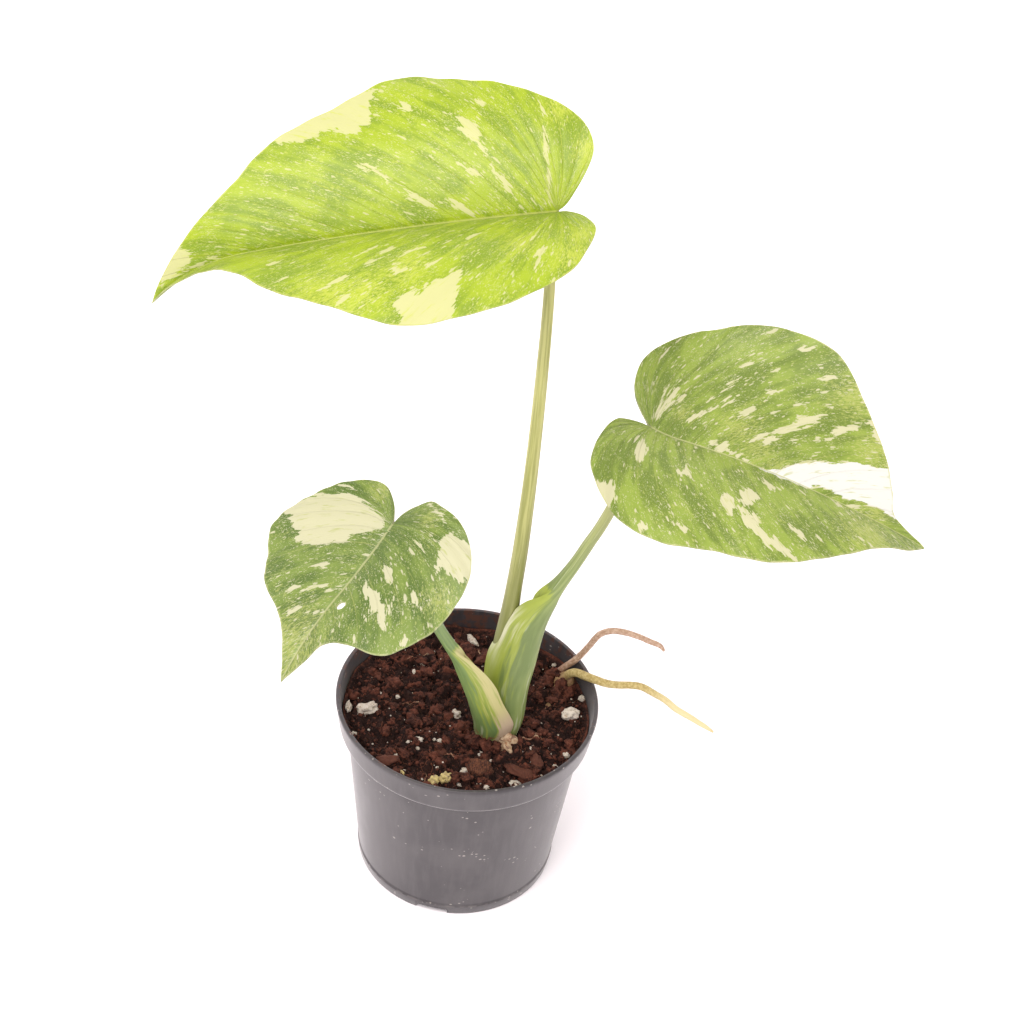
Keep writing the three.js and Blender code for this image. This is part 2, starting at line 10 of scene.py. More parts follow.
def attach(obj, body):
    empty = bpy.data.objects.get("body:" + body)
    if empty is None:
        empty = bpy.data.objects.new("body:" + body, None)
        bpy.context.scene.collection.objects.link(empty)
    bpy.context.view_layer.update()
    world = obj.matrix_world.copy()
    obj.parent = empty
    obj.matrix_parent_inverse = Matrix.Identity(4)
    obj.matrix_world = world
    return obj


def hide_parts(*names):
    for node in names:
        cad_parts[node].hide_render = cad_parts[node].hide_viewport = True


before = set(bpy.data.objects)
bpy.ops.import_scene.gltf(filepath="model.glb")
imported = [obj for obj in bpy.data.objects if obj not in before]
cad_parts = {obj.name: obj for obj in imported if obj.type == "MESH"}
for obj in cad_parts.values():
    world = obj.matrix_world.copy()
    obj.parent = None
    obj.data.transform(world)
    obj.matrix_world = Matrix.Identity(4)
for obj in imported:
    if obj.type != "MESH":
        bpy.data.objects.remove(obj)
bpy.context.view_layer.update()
MM = 0.001  # all sizes below are in millimetres, and a finished piece is scaled to metres


# Camera: a long lens about a metre away, looking down on the plant from the front.
# It is rolled a few degrees, which leans the pot to the left in the picture.
camera_elevation = math.radians(39.47)
camera_roll = math.radians(5.83)
camera_distance = 1064.6
camera_aim = (-27.83, -158.41)  # where the pot's foot lies in the picture plane, right and up
picture_pixels = 1024
focal_pixels = 2200
sensor_width = 36

look = Vector((0, math.cos(camera_elevation), -math.sin(camera_elevation)))
level_up = Vector((0, math.sin(camera_elevation), math.cos(camera_elevation)))
level_right = Vector((1, 0, 0))
picture_right = math.cos(camera_roll) * level_right + math.sin(camera_roll) * level_up
picture_up = math.cos(camera_roll) * level_up - math.sin(camera_roll) * level_right
eye = -(camera_aim[0] * picture_right + camera_aim[1] * picture_up + camera_distance * look)
camera_data = bpy.data.cameras.new("camera")
camera_data.sensor_width = sensor_width
camera_data.lens = sensor_width * focal_pixels / picture_pixels
camera = bpy.data.objects.new("camera", camera_data)
camera_turn = Matrix((picture_right, picture_up, -look)).transposed().to_4x4()
camera.matrix_world = Matrix.Translation(eye * MM) @ camera_turn
bpy.context.scene.collection.objects.link(camera)
bpy.context.scene.camera = camera


# Floor and light: a seamless white sweep, bright enough to burn out, between white walls,
# under one large soft light from above, in front and to the left. The light is a little warm.
floor_half_side = 6000
floor_white = (0.95, 0.94, 0.955, 1)
warm_light = (1, 0.93, 0.935)
wall_light = 1.5
key_place = (-450, -600, 1400)
key_side = 1000
key_watts = 19

floor_mesh = bmesh.new()
bmesh.ops.create_grid(floor_mesh, x_segments=2, y_segments=2, size=floor_half_side * MM)
floor_data = bpy.data.meshes.new("floor")
floor_mesh.to_mesh(floor_data)
floor_mesh.free()
floor = bpy.data.objects.new("floor", floor_data)
bpy.context.scene.collection.objects.link(floor)
floor_material = bpy.data.materials.new("white_sweep")
floor_material.use_nodes = True
floor_sockets = floor_material.node_tree.nodes["Principled BSDF"].inputs
floor_sockets["Base Color"].default_value = floor_white
floor_sockets["Roughness"].default_value = 0.9
floor_sockets["Specular IOR Level"].default_value = 0.1
floor_data.materials.append(floor_material)

world = bpy.data.worlds.new("white_walls")
world.use_nodes = True
world.node_tree.nodes["Background"].inputs["Color"].default_value = (*warm_light, 1)
world.node_tree.nodes["Background"].inputs["Strength"].default_value = wall_light
bpy.context.scene.world = world
key_data = bpy.data.lights.new("key", "AREA")
key_data.size = key_side * MM
key_data.energy = key_watts
key_data.color = warm_light
key = bpy.data.objects.new("key", key_data)
key.location = Vector(key_place) * MM
key.rotation_euler = (-key.location).to_track_quat("-Z", "Y").to_euler()
bpy.context.scene.collection.objects.link(key)
bpy.context.scene.view_settings.view_transform = "Standard"


# Pot: a round nursery pot, injection moulded in thin grey plastic, with a rolled rim band
# and a foot ring. It is satin, and dusty and scuffed at its rim, band and foot.
pot_height = 97
rim_radius = 60
lip_width = 2
band_height = 14
band_foot_radius = 58.2
body_top_radius = 54.7
foot_radius = 46.3
wall = 1.3
floor_lift = 3
floor_thickness = 1.5
foot_ring_width = 2.4
centre_pad_radius = 10
step_height = 5.5
step_depth = 0.4
notch_count = 4
notch_width = 15
notch_height = 3
notch_turn = -99
drain_count = 6
drain_radius = 4
drain_circle = 28
cutter_length = 12
notch_rounding = 0.8
pot_sides = 192
pot_grey = (0.029, 0.025, 0.028, 1)
pot_worn_grey = (0.1, 0.094, 0.095, 1)
pot_dust = (0.36, 0.33, 0.3, 1)
smeared_mix = (0.075, 0.03, 0.019, 1)


class Wire:
    """An output of a node. Sums and products with it add Math nodes to the tree at hand,
    and wire[name] is another output of the same node."""

    tree = None

    def __init__(self, node, output=0):
        self.node = node
        self.socket = node.outputs[output]

    def __getitem__(self, output):
        return Wire(self.node, output)

    def __add__(self, other):
        return reckoned("ADD", self, other)

    def __sub__(self, other):
        return reckoned("SUBTRACT", self, other)

    def __rsub__(self, other):
        return reckoned("SUBTRACT", other, self)

    def __mul__(self, other):
        return reckoned("MULTIPLY", self, other)

    def __truediv__(self, other):
        return reckoned("DIVIDE", self, other)

    def __abs__(self):
        return reckoned("ABSOLUTE", self)


def feed(node, inputs):
    """Gives inputs of a node a value, or the output that a Wire stands for."""
    for name, value in inputs.items():
        if isinstance(value, Wire):
            Wire.tree.links.new(value.socket, node.inputs[name])
        else:
            node.inputs[name].default_value = value


def put(kind, inputs=None, **settings):
    """Adds a node to the tree at hand, and gives its first output."""
    node = Wire.tree.nodes.new(kind if kind.startswith("NodeGroup") else "ShaderNode" + kind)
    for name, value in settings.items():
        setattr(node, name, value)
    feed(node, inputs or {})
    return Wire(node) if node.outputs else None


def reckoned(operation, a, b=0.0):
    """What a Math node makes of one or two values."""
    return put("Math", {0: a, 1: b}, operation=operation)


def most(first, *others):
    """The largest of some values."""
    for other in others:
        first = reckoned("MAXIMUM", first, other)
    return first


def blend(factor, a, b):
    """Two colours mixed by a factor."""
    return put("Mix", {0: factor, 6: a, 7: b}, data_type="RGBA", clamp_factor=True)[2]


def between(value, low, high, to_low=0.0, to_high=1.0):
    """A smooth step of value from low to high."""
    inputs = {0: value, 1: low, 2: high, 3: to_low, 4: to_high}
    return put("MapRange", inputs, interpolation_type="SMOOTHSTEP")


def stretched(vector, x, y, z):
    """A vector with its three sides divided by x, y and z millimetres."""
    return put("VectorMath", {0: vector, 1: put("CombineXYZ", {0: x, 1: y, 2: z})}, operation="DIVIDE")


def cloud(vector, size=1.0, detail=3.0, roughness=0.55, warp=0.0):
    """Noise whose lumps are about size across in the vector's unit, from about 0.3 to 0.7."""
    inputs = {"Vector": vector, "Scale": 1 / size, "Detail": detail, "Roughness": roughness}
    return put("TexNoise", {**inputs, "Distortion": warp})["Fac"]


def place_mm():
    """The place on the piece, in millimetres."""
    return put("VectorMath", {0: put("TexCoord")["Object"], "Scale": 1 / MM}, operation="SCALE")


def set_shader(inputs):
    """Feeds the Principled shader of the material at hand."""
    feed(Wire.tree.nodes["Principled BSDF"], inputs)


def finish(name, roughness, specular):
    """A new material, whose node tree is the one at hand from here on."""
    material = bpy.data.materials.new(name)
    material.use_nodes = True
    Wire.tree = material.node_tree
    set_shader({"Roughness": roughness, "Specular IOR Level": specular})
    return material


def paint(colour, height, depth):
    """Colours the material at hand. Its height of 0 to 1 stands for depth in millimetres."""
    relief = put("Bump", {"Height": height, "Distance": depth * MM, "Strength": 1.0})
    set_shader({"Base Color": colour, "Normal": relief})


def made(name, bm, materials, crease=180):
    """The piece of a bmesh in millimetres: closed, facing out, smooth but for its creases."""
    bmesh.ops.scale(bm, vec=(MM, MM, MM), verts=bm.verts)
    bmesh.ops.remove_doubles(bm, verts=bm.verts, dist=0.002 * MM)
    bmesh.ops.recalc_face_normals(bm, faces=bm.faces)
    for face in bm.faces:
        face.smooth = True
    data = bpy.data.meshes.new(name)
    bm.to_mesh(data)
    bm.free()
    data.set_sharp_from_angle(angle=math.radians(crease))
    for material in materials:
        data.materials.append(material)
    piece = bpy.data.objects.new(name, data)
    bpy.context.scene.collection.objects.link(piece)
    return piece


def settle(piece):
    """Makes what a piece's modifiers do part of its mesh."""
    bpy.context.view_layer.update()
    whole = piece.evaluated_get(bpy.context.evaluated_depsgraph_get())
    data = bpy.data.meshes.new_from_object(whole)
    piece.modifiers.clear()
    piece.data = data


def cut(piece, cutters, crease):
    """Takes the cutters' solids out of a piece, for good."""
    for cutter in cutters:
        modifier = piece.modifiers.new("cut", "BOOLEAN")
        modifier.operation = "DIFFERENCE"
        modifier.solver = "EXACT"
        modifier.object = cutter
    settle(piece)
    piece.data.set_sharp_from_angle(angle=math.radians(crease))
    for cutter in cutters:
        bpy.data.objects.remove(cutter)


pot_mesh = bmesh.new()
band_foot = pot_height - band_height
step_radius = foot_radius + 0.6
inner_foot = step_radius - wall
floor_top = floor_lift + floor_thickness
# The bends of the wall's section, from the foot's middle over the rim to the floor's middle:
# a radius and a height, and how far out and up from them each corner lies.
bends = [
    (centre_pad_radius, 0, [(-centre_pad_radius, 0), (-1, 0), (0, floor_lift)]),
    (foot_radius - foot_ring_width, 0, [(-0.4, floor_lift), (0, 0.3), (0.4, 0)]),
    (foot_radius, 0, [(-0.5, 0), (0, 0.6)]),
    (step_radius, step_height, [(-0.1, -0.5), (0, 0), (-step_depth, 0.7), (0.15 - step_depth, 2)]),
    (body_top_radius, band_foot, [(-0.3, -3), (0, -0.9), (0.5, -0.4)]),
    (band_foot_radius, band_foot, [(-0.7, 0), (-0.2, 0.2), (0, 0.7), (0.2, 2)]),
    (rim_radius, pot_height, [(-0.35, -3.2), (-0.05, -1.6), (-0.05, -0.7), (-0.25, -0.2), (-0.7, 0)]),
    (rim_radius - lip_width, pot_height, [(0.5, 0), (0.1, -0.2), (0, -0.7)]),
    (band_foot_radius, band_foot, [(-1.4, 2.4)]),
    (body_top_radius - wall, band_foot, [(0, 0.6)]),
    (inner_foot, floor_top, [(0, 2), (-0.5, 0.6), (-1.5, 0), (-inner_foot, 0)]),
]
profile = [(radius + out, height + up) for radius, height, turns in bends for out, up in turns]
corners = [pot_mesh.verts.new((radius, 0, height)) for radius, height in profile]
edges = [pot_mesh.edges.new(pair) for pair in zip(corners, corners[1:])]
bmesh.ops.spin(
    pot_mesh, geom=corners + edges, cent=(0, 0, 0), axis=(0, 0, 1), angle=2 * math.pi, steps=pot_sides,
    use_merge=True,
)

cutter_mesh = bmesh.new()
for i in range(notch_count):
    angle = math.radians(notch_turn + i * 360 / notch_count)
    turn = Matrix.Rotation(angle, 4, "Z") @ Matrix.Translation((foot_radius, 0, 0))
    size = Matrix.Diagonal((cutter_length, notch_width, 2 * notch_height, 1))
    box = bmesh.ops.create_cube(cutter_mesh, size=1, matrix=turn @ size)
    sides = [edge for vert in box["verts"] for edge in vert.link_edges]
    upright = [edge for edge in sides if abs(edge.verts[0].co.z - edge.verts[1].co.z) < 1]
    bmesh.ops.bevel(
        cutter_mesh, geom=list(dict.fromkeys(upright)), offset=notch_rounding, segments=3,
        profile=0.5, affect="EDGES", material=-1,
    )
for i in range(drain_count):
    turn = Matrix.Rotation(math.radians(i * 360 / drain_count), 4, "Z")
    bmesh.ops.create_cone(
        cutter_mesh, cap_ends=True, segments=40, radius1=drain_radius, radius2=drain_radius,
        depth=cutter_length, matrix=turn @ Matrix.Translation((drain_circle, 0, floor_lift)),
    )

pot_plastic = finish("grey_pot_plastic", roughness=0.45, specular=0.5)
set_shader({"Sheen Weight": 0.35, "Sheen Roughness": 0.35})
place = place_mm()
across, back, height_up = put("SeparateXYZ", {0: place})
# Handling has worn it paler in wide soft drifts, and flow lines run up it from the moulding.
drift = between(cloud(place, size=26, detail=4), 0.38, 0.66)
flow = cloud(stretched(place, 3, 3, 30), detail=4)
grain = cloud(place, size=0.35, detail=2)
grey = blend(drift * 0.38, pot_grey, pot_worn_grey)
grey = blend(between(flow, 0.4, 0.75, 0, 0.22), grey, pot_worn_grey)
# Mix that was brushed against the inside of the wall has dried there, most at the back.
from_axis = reckoned("SQRT", across * across + back * back)
flare = (rim_radius - band_foot_radius) / band_height
band_radius = height_up * flare + (band_foot_radius - flare * band_foot)
inner_wall = between(band_radius - from_axis, 0.8, 1.1) * between(height_up, band_foot, band_foot + 1)
smear = between(back, 10, 50) * 0.08 + cloud(place, size=4, detail=6, roughness=0.65)
smear = between(across, 30, -20) * 0.06 + smear
smear = inner_wall * between(smear, 0.6, 0.66, 0, 0.85)
grey = blend(smear, grey, smeared_mix)
# Pale scuffs: short scratches in patches, and specks of dust, thickest on the band and foot.
scratches = {"Vector": stretched(place, 0.8, 0.8, 0.55), "Scale": 0.42, "Randomness": 1.0}
scratch_cells = put("TexVoronoi", scratches, feature="F1")
rare = put("SeparateColor", {0: scratch_cells["Color"]})
patches_worn = between(cloud(place, size=14, detail=2), 0.5, 0.66)
rim_dust = between(height_up, pot_height - 6, pot_height - 0.5)
foot_dust = between(height_up, step_height + 4, step_height - 1)
band_line = between(abs(height_up - (band_foot + 0.4)), 0.8, 0.2)
step_line = between(abs(height_up - step_height), 0.7, 0.15)
wear = most(patches_worn, most(rim_dust, foot_dust) * 0.8)
speck_size = between(rare, 0.7, 1.0) * (wear * 0.42 + 0.04)
speck = between(scratch_cells["Distance"] - speck_size, 0.02, -0.06)
line_break = between(cloud(place, size=4, detail=4), 0.42, 0.6)
lines = most(band_line, step_line) * line_break
pale = most(speck * 0.6, lines * 0.16)
set_shader({"Roughness": most(drift * 0.12 + 0.38, pale * 0.9)})
paint(blend(pale, grey, pot_dust), grain * 0.25 + speck * 0.7 + flow * 0.3, 0.06)

pot = made("pot", pot_mesh, [pot_plastic], crease=50)
cut(pot, [made("pot_cutter", cutter_mesh, [pot_plastic])], crease=50)
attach(pot, "root")
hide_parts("pot")


# Potting mix: damp coir and peat, pressed in by hand, with perlite, bark and clods in it.
# The mix is one body; its loose crumbs, fibres and grains lie on top, half sunk in it.
soil_level = 89
crown = (14, -10)
gap = 0.3
soil_cells = 210
# The colour of the pits: painted shade as well as damp mix.
soil_pit_shade_and_damp = (0.008, 0.0034, 0.0026, 1)
soil_dark = (0.03, 0.01, 0.0068, 1)
soil_brown = (0.112, 0.036, 0.022, 1)
soil_rust = (0.25, 0.078, 0.04, 1)
# The colour of the painted glints on the mix.
soil_glint_highlight = (0.33, 0.16, 0.09, 1)
top_radius = band_foot_radius - 1.5 - gap


def soil_height(x, y):
    """The height of the mix: low clods, a dip at the wall and a mound at the crown."""
    from_wall = band_foot_radius - math.hypot(x, y)
    from_crown = math.hypot(x - crown[0], y - crown[1])
    clods = 1.1 * math.sin(x / 7 + 1) * math.cos(y / 6.5) + 0.6 * math.sin(x / 3.6 + y / 4.7)
    return soil_level + clods - 1.2 * math.exp(-from_wall / 4) + 1.2 * math.exp(-from_crown / 12)


def soil_relief(x, y):
    """How far the mix's clumps stand up, or its pits go down, in mm."""
    place = Vector((x, y, 0))
    clumps = noise.turbulence(place / 7, 3, False) - 0.45
    pits = noise.turbulence(place / 2.6 + Vector((40, 0, 0)), 3, False) - 0.45
    near_wall = min(1, max(0, (top_radius - math.hypot(x, y)) / 3))
    return near_wall * (3.4 * clumps + 1.9 * pits)


def rough_soil(x, y):
    """The height of the mix with its clumps and pits."""
    return soil_height(x, y) + soil_relief(x, y)


soil_mesh = bmesh.new()
bmesh.ops.create_grid(soil_mesh, x_segments=soil_cells, y_segments=soil_cells, size=1)
relief_layer = soil_mesh.verts.layers.float.new("relief")
for vert in soil_mesh.verts:
    u, v = vert.co.x, vert.co.y
    x = top_radius * u * math.sqrt(1 - v * v / 2)
    y = top_radius * v * math.sqrt(1 - u * u / 2)
    vert[relief_layer] = soil_relief(x, y)
    vert.co = (x, y, soil_height(x, y) + vert[relief_layer])
rim_edges = [edge for edge in soil_mesh.edges if edge.is_boundary]
side_profile = [
    (top_radius, band_foot + 1.6 + 2 * gap), (body_top_radius - wall - gap, band_foot + 0.6 + gap),
    (inner_foot - gap, floor_top + gap + 2), (inner_foot - 1.5 - gap, floor_top + gap),
]
for radius, height in side_profile:
    ring = bmesh.ops.extrude_edge_only(soil_mesh, edges=rim_edges)["geom"]
    rim_edges = [part for part in ring if isinstance(part, bmesh.types.BMEdge)]
    for vert in [part for part in ring if isinstance(part, bmesh.types.BMVert)]:
        shrink = radius / math.hypot(vert.co.x, vert.co.y)
        vert.co = (vert.co.x * shrink, vert.co.y * shrink, height)
bmesh.ops.holes_fill(soil_mesh, edges=rim_edges, sides=0)

soil_material = finish("coir_and_peat", roughness=0.85, specular=0.2)
place = place_mm()
clump = cloud(place, size=5, detail=6, roughness=0.65)
crumb = cloud(place, size=1.1, detail=5, roughness=0.7)
# Coir fibres and dust show as short rusty threads that run every way.
thread_warp = put("VectorMath", {0: place, 1: (3.0, 7.0, 1.0)}, operation="ADD")
threads = cloud(stretched(thread_warp, 0.5, 2.4, 1), detail=2, warp=2.2)
threads_across = cloud(stretched(place, 2.6, 0.5, 1), detail=2, warp=2.6)
thread = most(between(threads, 0.64, 0.7), between(threads_across, 0.65, 0.71))
rusty_side = between(cloud(place, size=22, detail=2), 0.45, 0.62)
brown = blend(between(clump, 0.4, 0.62), soil_dark, soil_brown)
brown = blend(between(crumb, 0.5, 0.72, 0, 0.55), brown, soil_rust)
brown = blend(thread * (rusty_side * 0.5 + 0.25), brown, soil_rust)
# Pits are painted darker, as painted shade and as damp mix, and the tops of the clumps dry to a redder
# brown.
relief = put("Attribute", attribute_name="relief")["Fac"]
brown = blend(between(relief, 0, -1.4, 0, 0.85), brown, soil_pit_shade_and_damp)
brown = blend(between(relief, 0.4, 1.8, 0, 0.5), brown, soil_rust)
# Painted glints: fine pale specks of painted highlight strewn over the mix.
painted_glint = between(cloud(place, size=0.6, detail=3), 0.66, 0.74, 0, 0.5)
set_shader({"Roughness": between(crumb, 0.35, 0.65, 0.95, 0.6)})
paint(blend(painted_glint, brown, soil_glint_highlight), clump + crumb * 0.6, 1.2)

soil = made("soil", soil_mesh, [soil_material])
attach(soil, "root")
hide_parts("soil")


# Crumbs: loose bits of peat and coir from a dust grain to a pea, strewn over the mix.
# They are of the same stuff as the mix, and lie in it rather than on it.
crumb_count = 2300
clod_count = 170
# Clods banked against the roots where they leave the mix, and against the stalks' foot.
banked_clods = [
    (40, 17.5, 8, 6, 7), (42.5, 21, 7, 6, 9), (36, 24, 8, 6, 6), (45.5, 18.5, 6, 5, 7), (39, 28, 7, 5, 6),
    (6, -19, 8, 5, 7), (10.5, -20.5, 7, 5, 6), (3, -16.5, 6, 5, 6), (15, -21, 6, 4, 4.5),
    (25, -16, 6, 4, 5), (29, -9.5, 7, 5, 5),
]
chance = random.Random(11)


def spot_on_soil(margin=2.0):
    """A random place on the mix, clear of the wall."""
    radius = (top_radius - margin) * math.sqrt(chance.random())
    angle = 2 * math.pi * chance.random()
    return radius * math.cos(angle), radius * math.sin(angle)


def crumble(bm, x, y, length, width, height, sink, faces, rough=0.28, turn=None):
    """A rough lump set in the mix at x, y. faces is how finely it is split, from 1."""
    turn = 2 * math.pi * chance.random() if turn is None else turn
    tilt = Matrix.Rotation(0.5 * (chance.random() - 0.5), 4, "X")
    at = Matrix.Translation((x, y, rough_soil(x, y) + sink * height))
    size = Matrix.Diagonal((length / 2, width / 2, height / 2, 1))
    shape = at @ Matrix.Rotation(turn, 4, "Z") @ tilt @ size
    ball = bmesh.ops.create_icosphere(bm, subdivisions=faces, radius=1)["verts"]
    seed = Vector((97 * chance.random(), 89 * chance.random(), 0))
    for vert in ball:
        push = 1 + rough * (noise.noise(1.6 * vert.co + seed) * 1.6 + noise.noise(4 * vert.co + seed) * 0.5)
        vert.co = shape @ (push * vert.co)


crumb_mesh = bmesh.new()
for i in range(crumb_count):
    x, y = spot_on_soil()
    size = 0.7 + 1.9 * chance.random() ** 2.2
    crumble(crumb_mesh, x, y, size, 0.8 * size, 0.7 * size, 0.2, 1, rough=0.5)
clod_mesh = bmesh.new()
for i in range(clod_count):
    x, y = spot_on_soil(4)
    size = 2.6 + 4.6 * chance.random() ** 2
    crumble(clod_mesh, x, y, size, (0.6 + 0.3 * chance.random()) * size, 0.6 * size, 0.12, 3, rough=0.45)
for x, y, length, width, height in banked_clods:
    crumble(clod_mesh, x, y, length, width, height, 0.2, 4, rough=0.4)
crumbs = made("soil_crumbs", crumb_mesh, [soil_material])
clods = made("soil_clods", clod_mesh, [soil_material])
for piece in (crumbs, clods):
    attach(piece, "root")


# Bark: one fibrous reddish chunk by the front wall and a few flat chips, cut from pine bark
# and coconut husk.
bark_chunk = (8.9, -36.2, 12, 9, 7)
bark_chips = [
    (-33, -38, 11, 5), (27, -34, 13, 9), (-10, -24, 9, 5), (34, -27, 10, 6), (-43, 20, 8, 4),
    (5, 34, 9, 5), (-22, 38, 10, 5), (40, 14, 8, 4),
]
bark_red = (0.16, 0.058, 0.028, 1)
bark_dark = (0.035, 0.013, 0.008, 1)

bark_mesh = bmesh.new()
bark_x, bark_y, bark_length, bark_width, bark_height = bark_chunk
crumble(bark_mesh, bark_x, bark_y, bark_length, bark_width, bark_height, 0.2, 4, rough=0.3, turn=0.4)
for x, y, length, width in bark_chips:
    crumble(bark_mesh, x, y, length, width, 2.6, 0.25, 3, rough=0.35)

bark_material = finish("coconut_husk_and_bark", roughness=0.8, specular=0.3)
place = place_mm()
husk = cloud(stretched(place, 0.45, 2.2, 0.9), detail=4, warp=1.5)
shade = cloud(place, size=4, detail=3)
husk_colour = blend(between(husk, 0.38, 0.62), bark_dark, bark_red)
chunk_side = put("VectorMath", {0: place, 1: (bark_x, bark_y, soil_level)}, operation="DISTANCE")
near_chunk = between(chunk_side["Value"], 12, 8, 0.25, 1)
paint(blend(near_chunk, soil_brown, husk_colour), husk + shade, 0.8)

bark = made("bark", bark_mesh, [bark_material])
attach(bark, "root")


# Perlite: white volcanic glass popped by heat, in rough rounded grains up to 9 mm.
# Two of them have gone yellow at the front wall.
perlite = [
    (-44.8, -5.2, 9.4, 6.6, 20), (-53.6, -6.5, 2.6, 6, 0), (-4.3, -1.3, 3.4, 5, 40),
    (24.8, -40.1, 5.8, 3.8, 0), (47.5, 1.7, 8, 6, 10), (2.3, -37.7, 3.9, 3.1, 10),
    (8.5, -24.4, 3.4, 2.6, 70), (-0.9, 48.7, 8.2, 3.2, -50), (-0.3, 41.1, 2, 1.8, 0),
    (47.1, -20.2, 2.9, 3.1, 30), (52.6, 16.2, 3, 2.8, 20), (38.8, 37.2, 2.4, 2.4, 0),
    (-32.1, 5.2, 2, 1.9, 0), (-17.3, -5.1, 2.2, 1.6, -20), (-26.2, 19.4, 1.5, 2.4, 10),
    (-22.8, 28.1, 3.1, 1.9, -20), (-19.3, -22.7, 2.9, 2.2, 10), (-20.8, -20.4, 1.9, 1.6, 0),
    (-20.0, -26.5, 2.8, 1.9, 0), (-10.5, -19.5, 2.5, 2.1, 50), (-12.9, -19.4, 1.5, 1.4, 0),
    (-49.1, -22.5, 2.4, 1.8, 0), (-24.4, -39.0, 1.9, 1.7, 0), (12.7, -46.2, 2.4, 2.2, 0),
    (0.3, -45.4, 3, 1.8, -40), (42.5, -27.7, 2.4, 1.8, -20), (35.8, -36.1, 2.9, 1.8, 20),
    (38.9, -35.7, 1.9, 1.4, 0), (-9.9, -36.4, 1.9, 1.3, 0), (-24.4, -25.3, 1.7, 1.4, 60),
    (-29.4, -33.5, 2, 1.5, 40), (13.5, -30.5, 1.4, 1.3, 0),
]
yellow_perlite = [
    (-10.3, -45.6, 5.4, 4.2, 20), (-5.8, -44.2, 4.6, 5.2, -40), (-25.6, -43.2, 3.4, 4.2, 50),
]
perlite_dust_count = 150
perlite_white = (0.58, 0.53, 0.45, 1)
# The brown of the pits and blotches: dust, and painted shade in the pits.
perlite_dust_and_shade = (0.34, 0.26, 0.18, 1)
perlite_yellow = (0.55, 0.45, 0.18, 1)


def perlite_glass(name, colour):
    """Chalky popped glass. Its pits are painted brown, as the dust that they hold and as painted shade, and
    so are blotches of dust.
    """
    material = finish(name, roughness=0.75, specular=0.3)
    place = place_mm()
    pits = cloud(place, size=1.3, detail=5, roughness=0.65)
    stain = cloud(place, size=2.6, detail=3)
    dust_and_shade_mask = most(between(pits, 0.5, 0.34), between(stain, 0.56, 0.72, 0, 0.6))
    paint(blend(dust_and_shade_mask, colour, perlite_dust_and_shade), pits, 0.9)
    return material


perlite_mesh = bmesh.new()
for x, y, length, width, turn in perlite:
    crumble(perlite_mesh, x, y, length, width, 0.8 * width, 0.3, 4, rough=0.32, turn=math.radians(turn))
for i in range(perlite_dust_count):
    x, y = spot_on_soil(3)
    size = 0.5 + 0.9 * chance.random() ** 2
    crumble(perlite_mesh, x, y, size, 0.9 * size, 0.8 * size, 0.35, 1)
yellow_mesh = bmesh.new()
for x, y, length, width, turn in yellow_perlite:
    crumble(yellow_mesh, x, y, length, width, 0.9 * width, 0.3, 4, rough=0.4, turn=math.radians(turn))

perlite_grains = made("perlite", perlite_mesh, [perlite_glass("perlite_white", perlite_white)])
yellow_grains = made("perlite_yellow", yellow_mesh, [perlite_glass("perlite_yellow", perlite_yellow)])
for piece in (perlite_grains, yellow_grains):
    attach(piece, "root")


# Fibres: loose coir threads, rusty and curled, and the plant's own pale feeding roots where
# they surface. Each is a thin round strand pressed onto the mix.
fibre_count = 520
fibre_rust = (0.17, 0.055, 0.028, 1)
fibre_dark = (0.05, 0.02, 0.012, 1)
thread_cream = (0.34, 0.22, 0.13, 1)
# The feeding roots: x and y of their start, heading in degrees, length and thickness.
feeding_roots = [
    (21, -14.5, -25, 17, 0.75), (27, -12.5, 35, 13, 0.6), (3.5, 33, 100, 7, 0.55), (-8, -25, -95, 9, 0.7),
    (-15, -38.5, -80, 8, 0.6), (-31, 29, 10, 26, 0.5), (-30, 3, -15, 12, 0.4),
]


def tube(bm, rings, uv_name=None, lengths=()):
    """Skins rings of points as one tube, with an optional UV map of (turn, length)."""
    around = len(rings[0])
    grid = bmesh.ops.create_grid(bm, x_segments=around, y_segments=len(rings) - 1, size=1)["verts"]
    where = {}
    for index, vert in enumerate(grid):
        row, column = divmod(index, around + 1)
        vert.co = rings[row][column % around]
        where[vert] = (column / around, row)
    if uv_name:
        layer = bm.loops.layers.uv.get(uv_name) or bm.loops.layers.uv.new(uv_name)
        for face in {face for vert in grid for face in vert.link_faces}:
            for loop in face.loops:
                turn, row = where[loop.vert]
                loop[layer].uv = (turn, lengths[row])


def strand(bm, x, y, heading, length, thickness, curl, lift=0.25, steps=9, sides=5):
    """A thin strand that lies on the mix and wanders as it goes."""
    rings = []
    for i in range(steps + 1):
        share = i / steps
        radius = 0.5 * thickness * math.sin(math.pi * min(1, max(0, 0.03 + 0.94 * share))) ** 0.35
        if i in (0, steps):
            radius = 0
        z = rough_soil(x, y) + lift * (1.2 - abs(2 * share - 1))
        across = Vector((-math.sin(heading), math.cos(heading), 0))
        ring = []
        for k in range(sides):
            turn = 2 * math.pi * k / sides
            out = math.cos(turn) * across + math.sin(turn) * Vector((0, 0, 1))
            ring.append(Vector((x, y, z)) + radius * out)
        rings.append(ring)
        heading += curl * (chance.random() - 0.5)
        x += length / steps * math.cos(heading)
        y += length / steps * math.sin(heading)
        if math.hypot(x, y) > top_radius - 1:
            heading += math.pi / 2
            x, y = 0.97 * x, 0.97 * y
    tube(bm, rings)


fibre_mesh = bmesh.new()
for i in range(fibre_count):
    x, y = spot_on_soil(3)
    length = 1.5 + 6 * chance.random() ** 1.6
    thickness = 0.12 + 0.22 * chance.random()
    heading = 2 * math.pi * chance.random()
    strand(fibre_mesh, x, y, heading, length, thickness, 1.6, lift=0.7, steps=6, sides=4)
feeding_mesh = bmesh.new()
for x, y, heading, length, thickness in feeding_roots:
    strand(feeding_mesh, x, y, math.radians(heading), length, thickness, 0.7, lift=0.6, steps=16, sides=7)

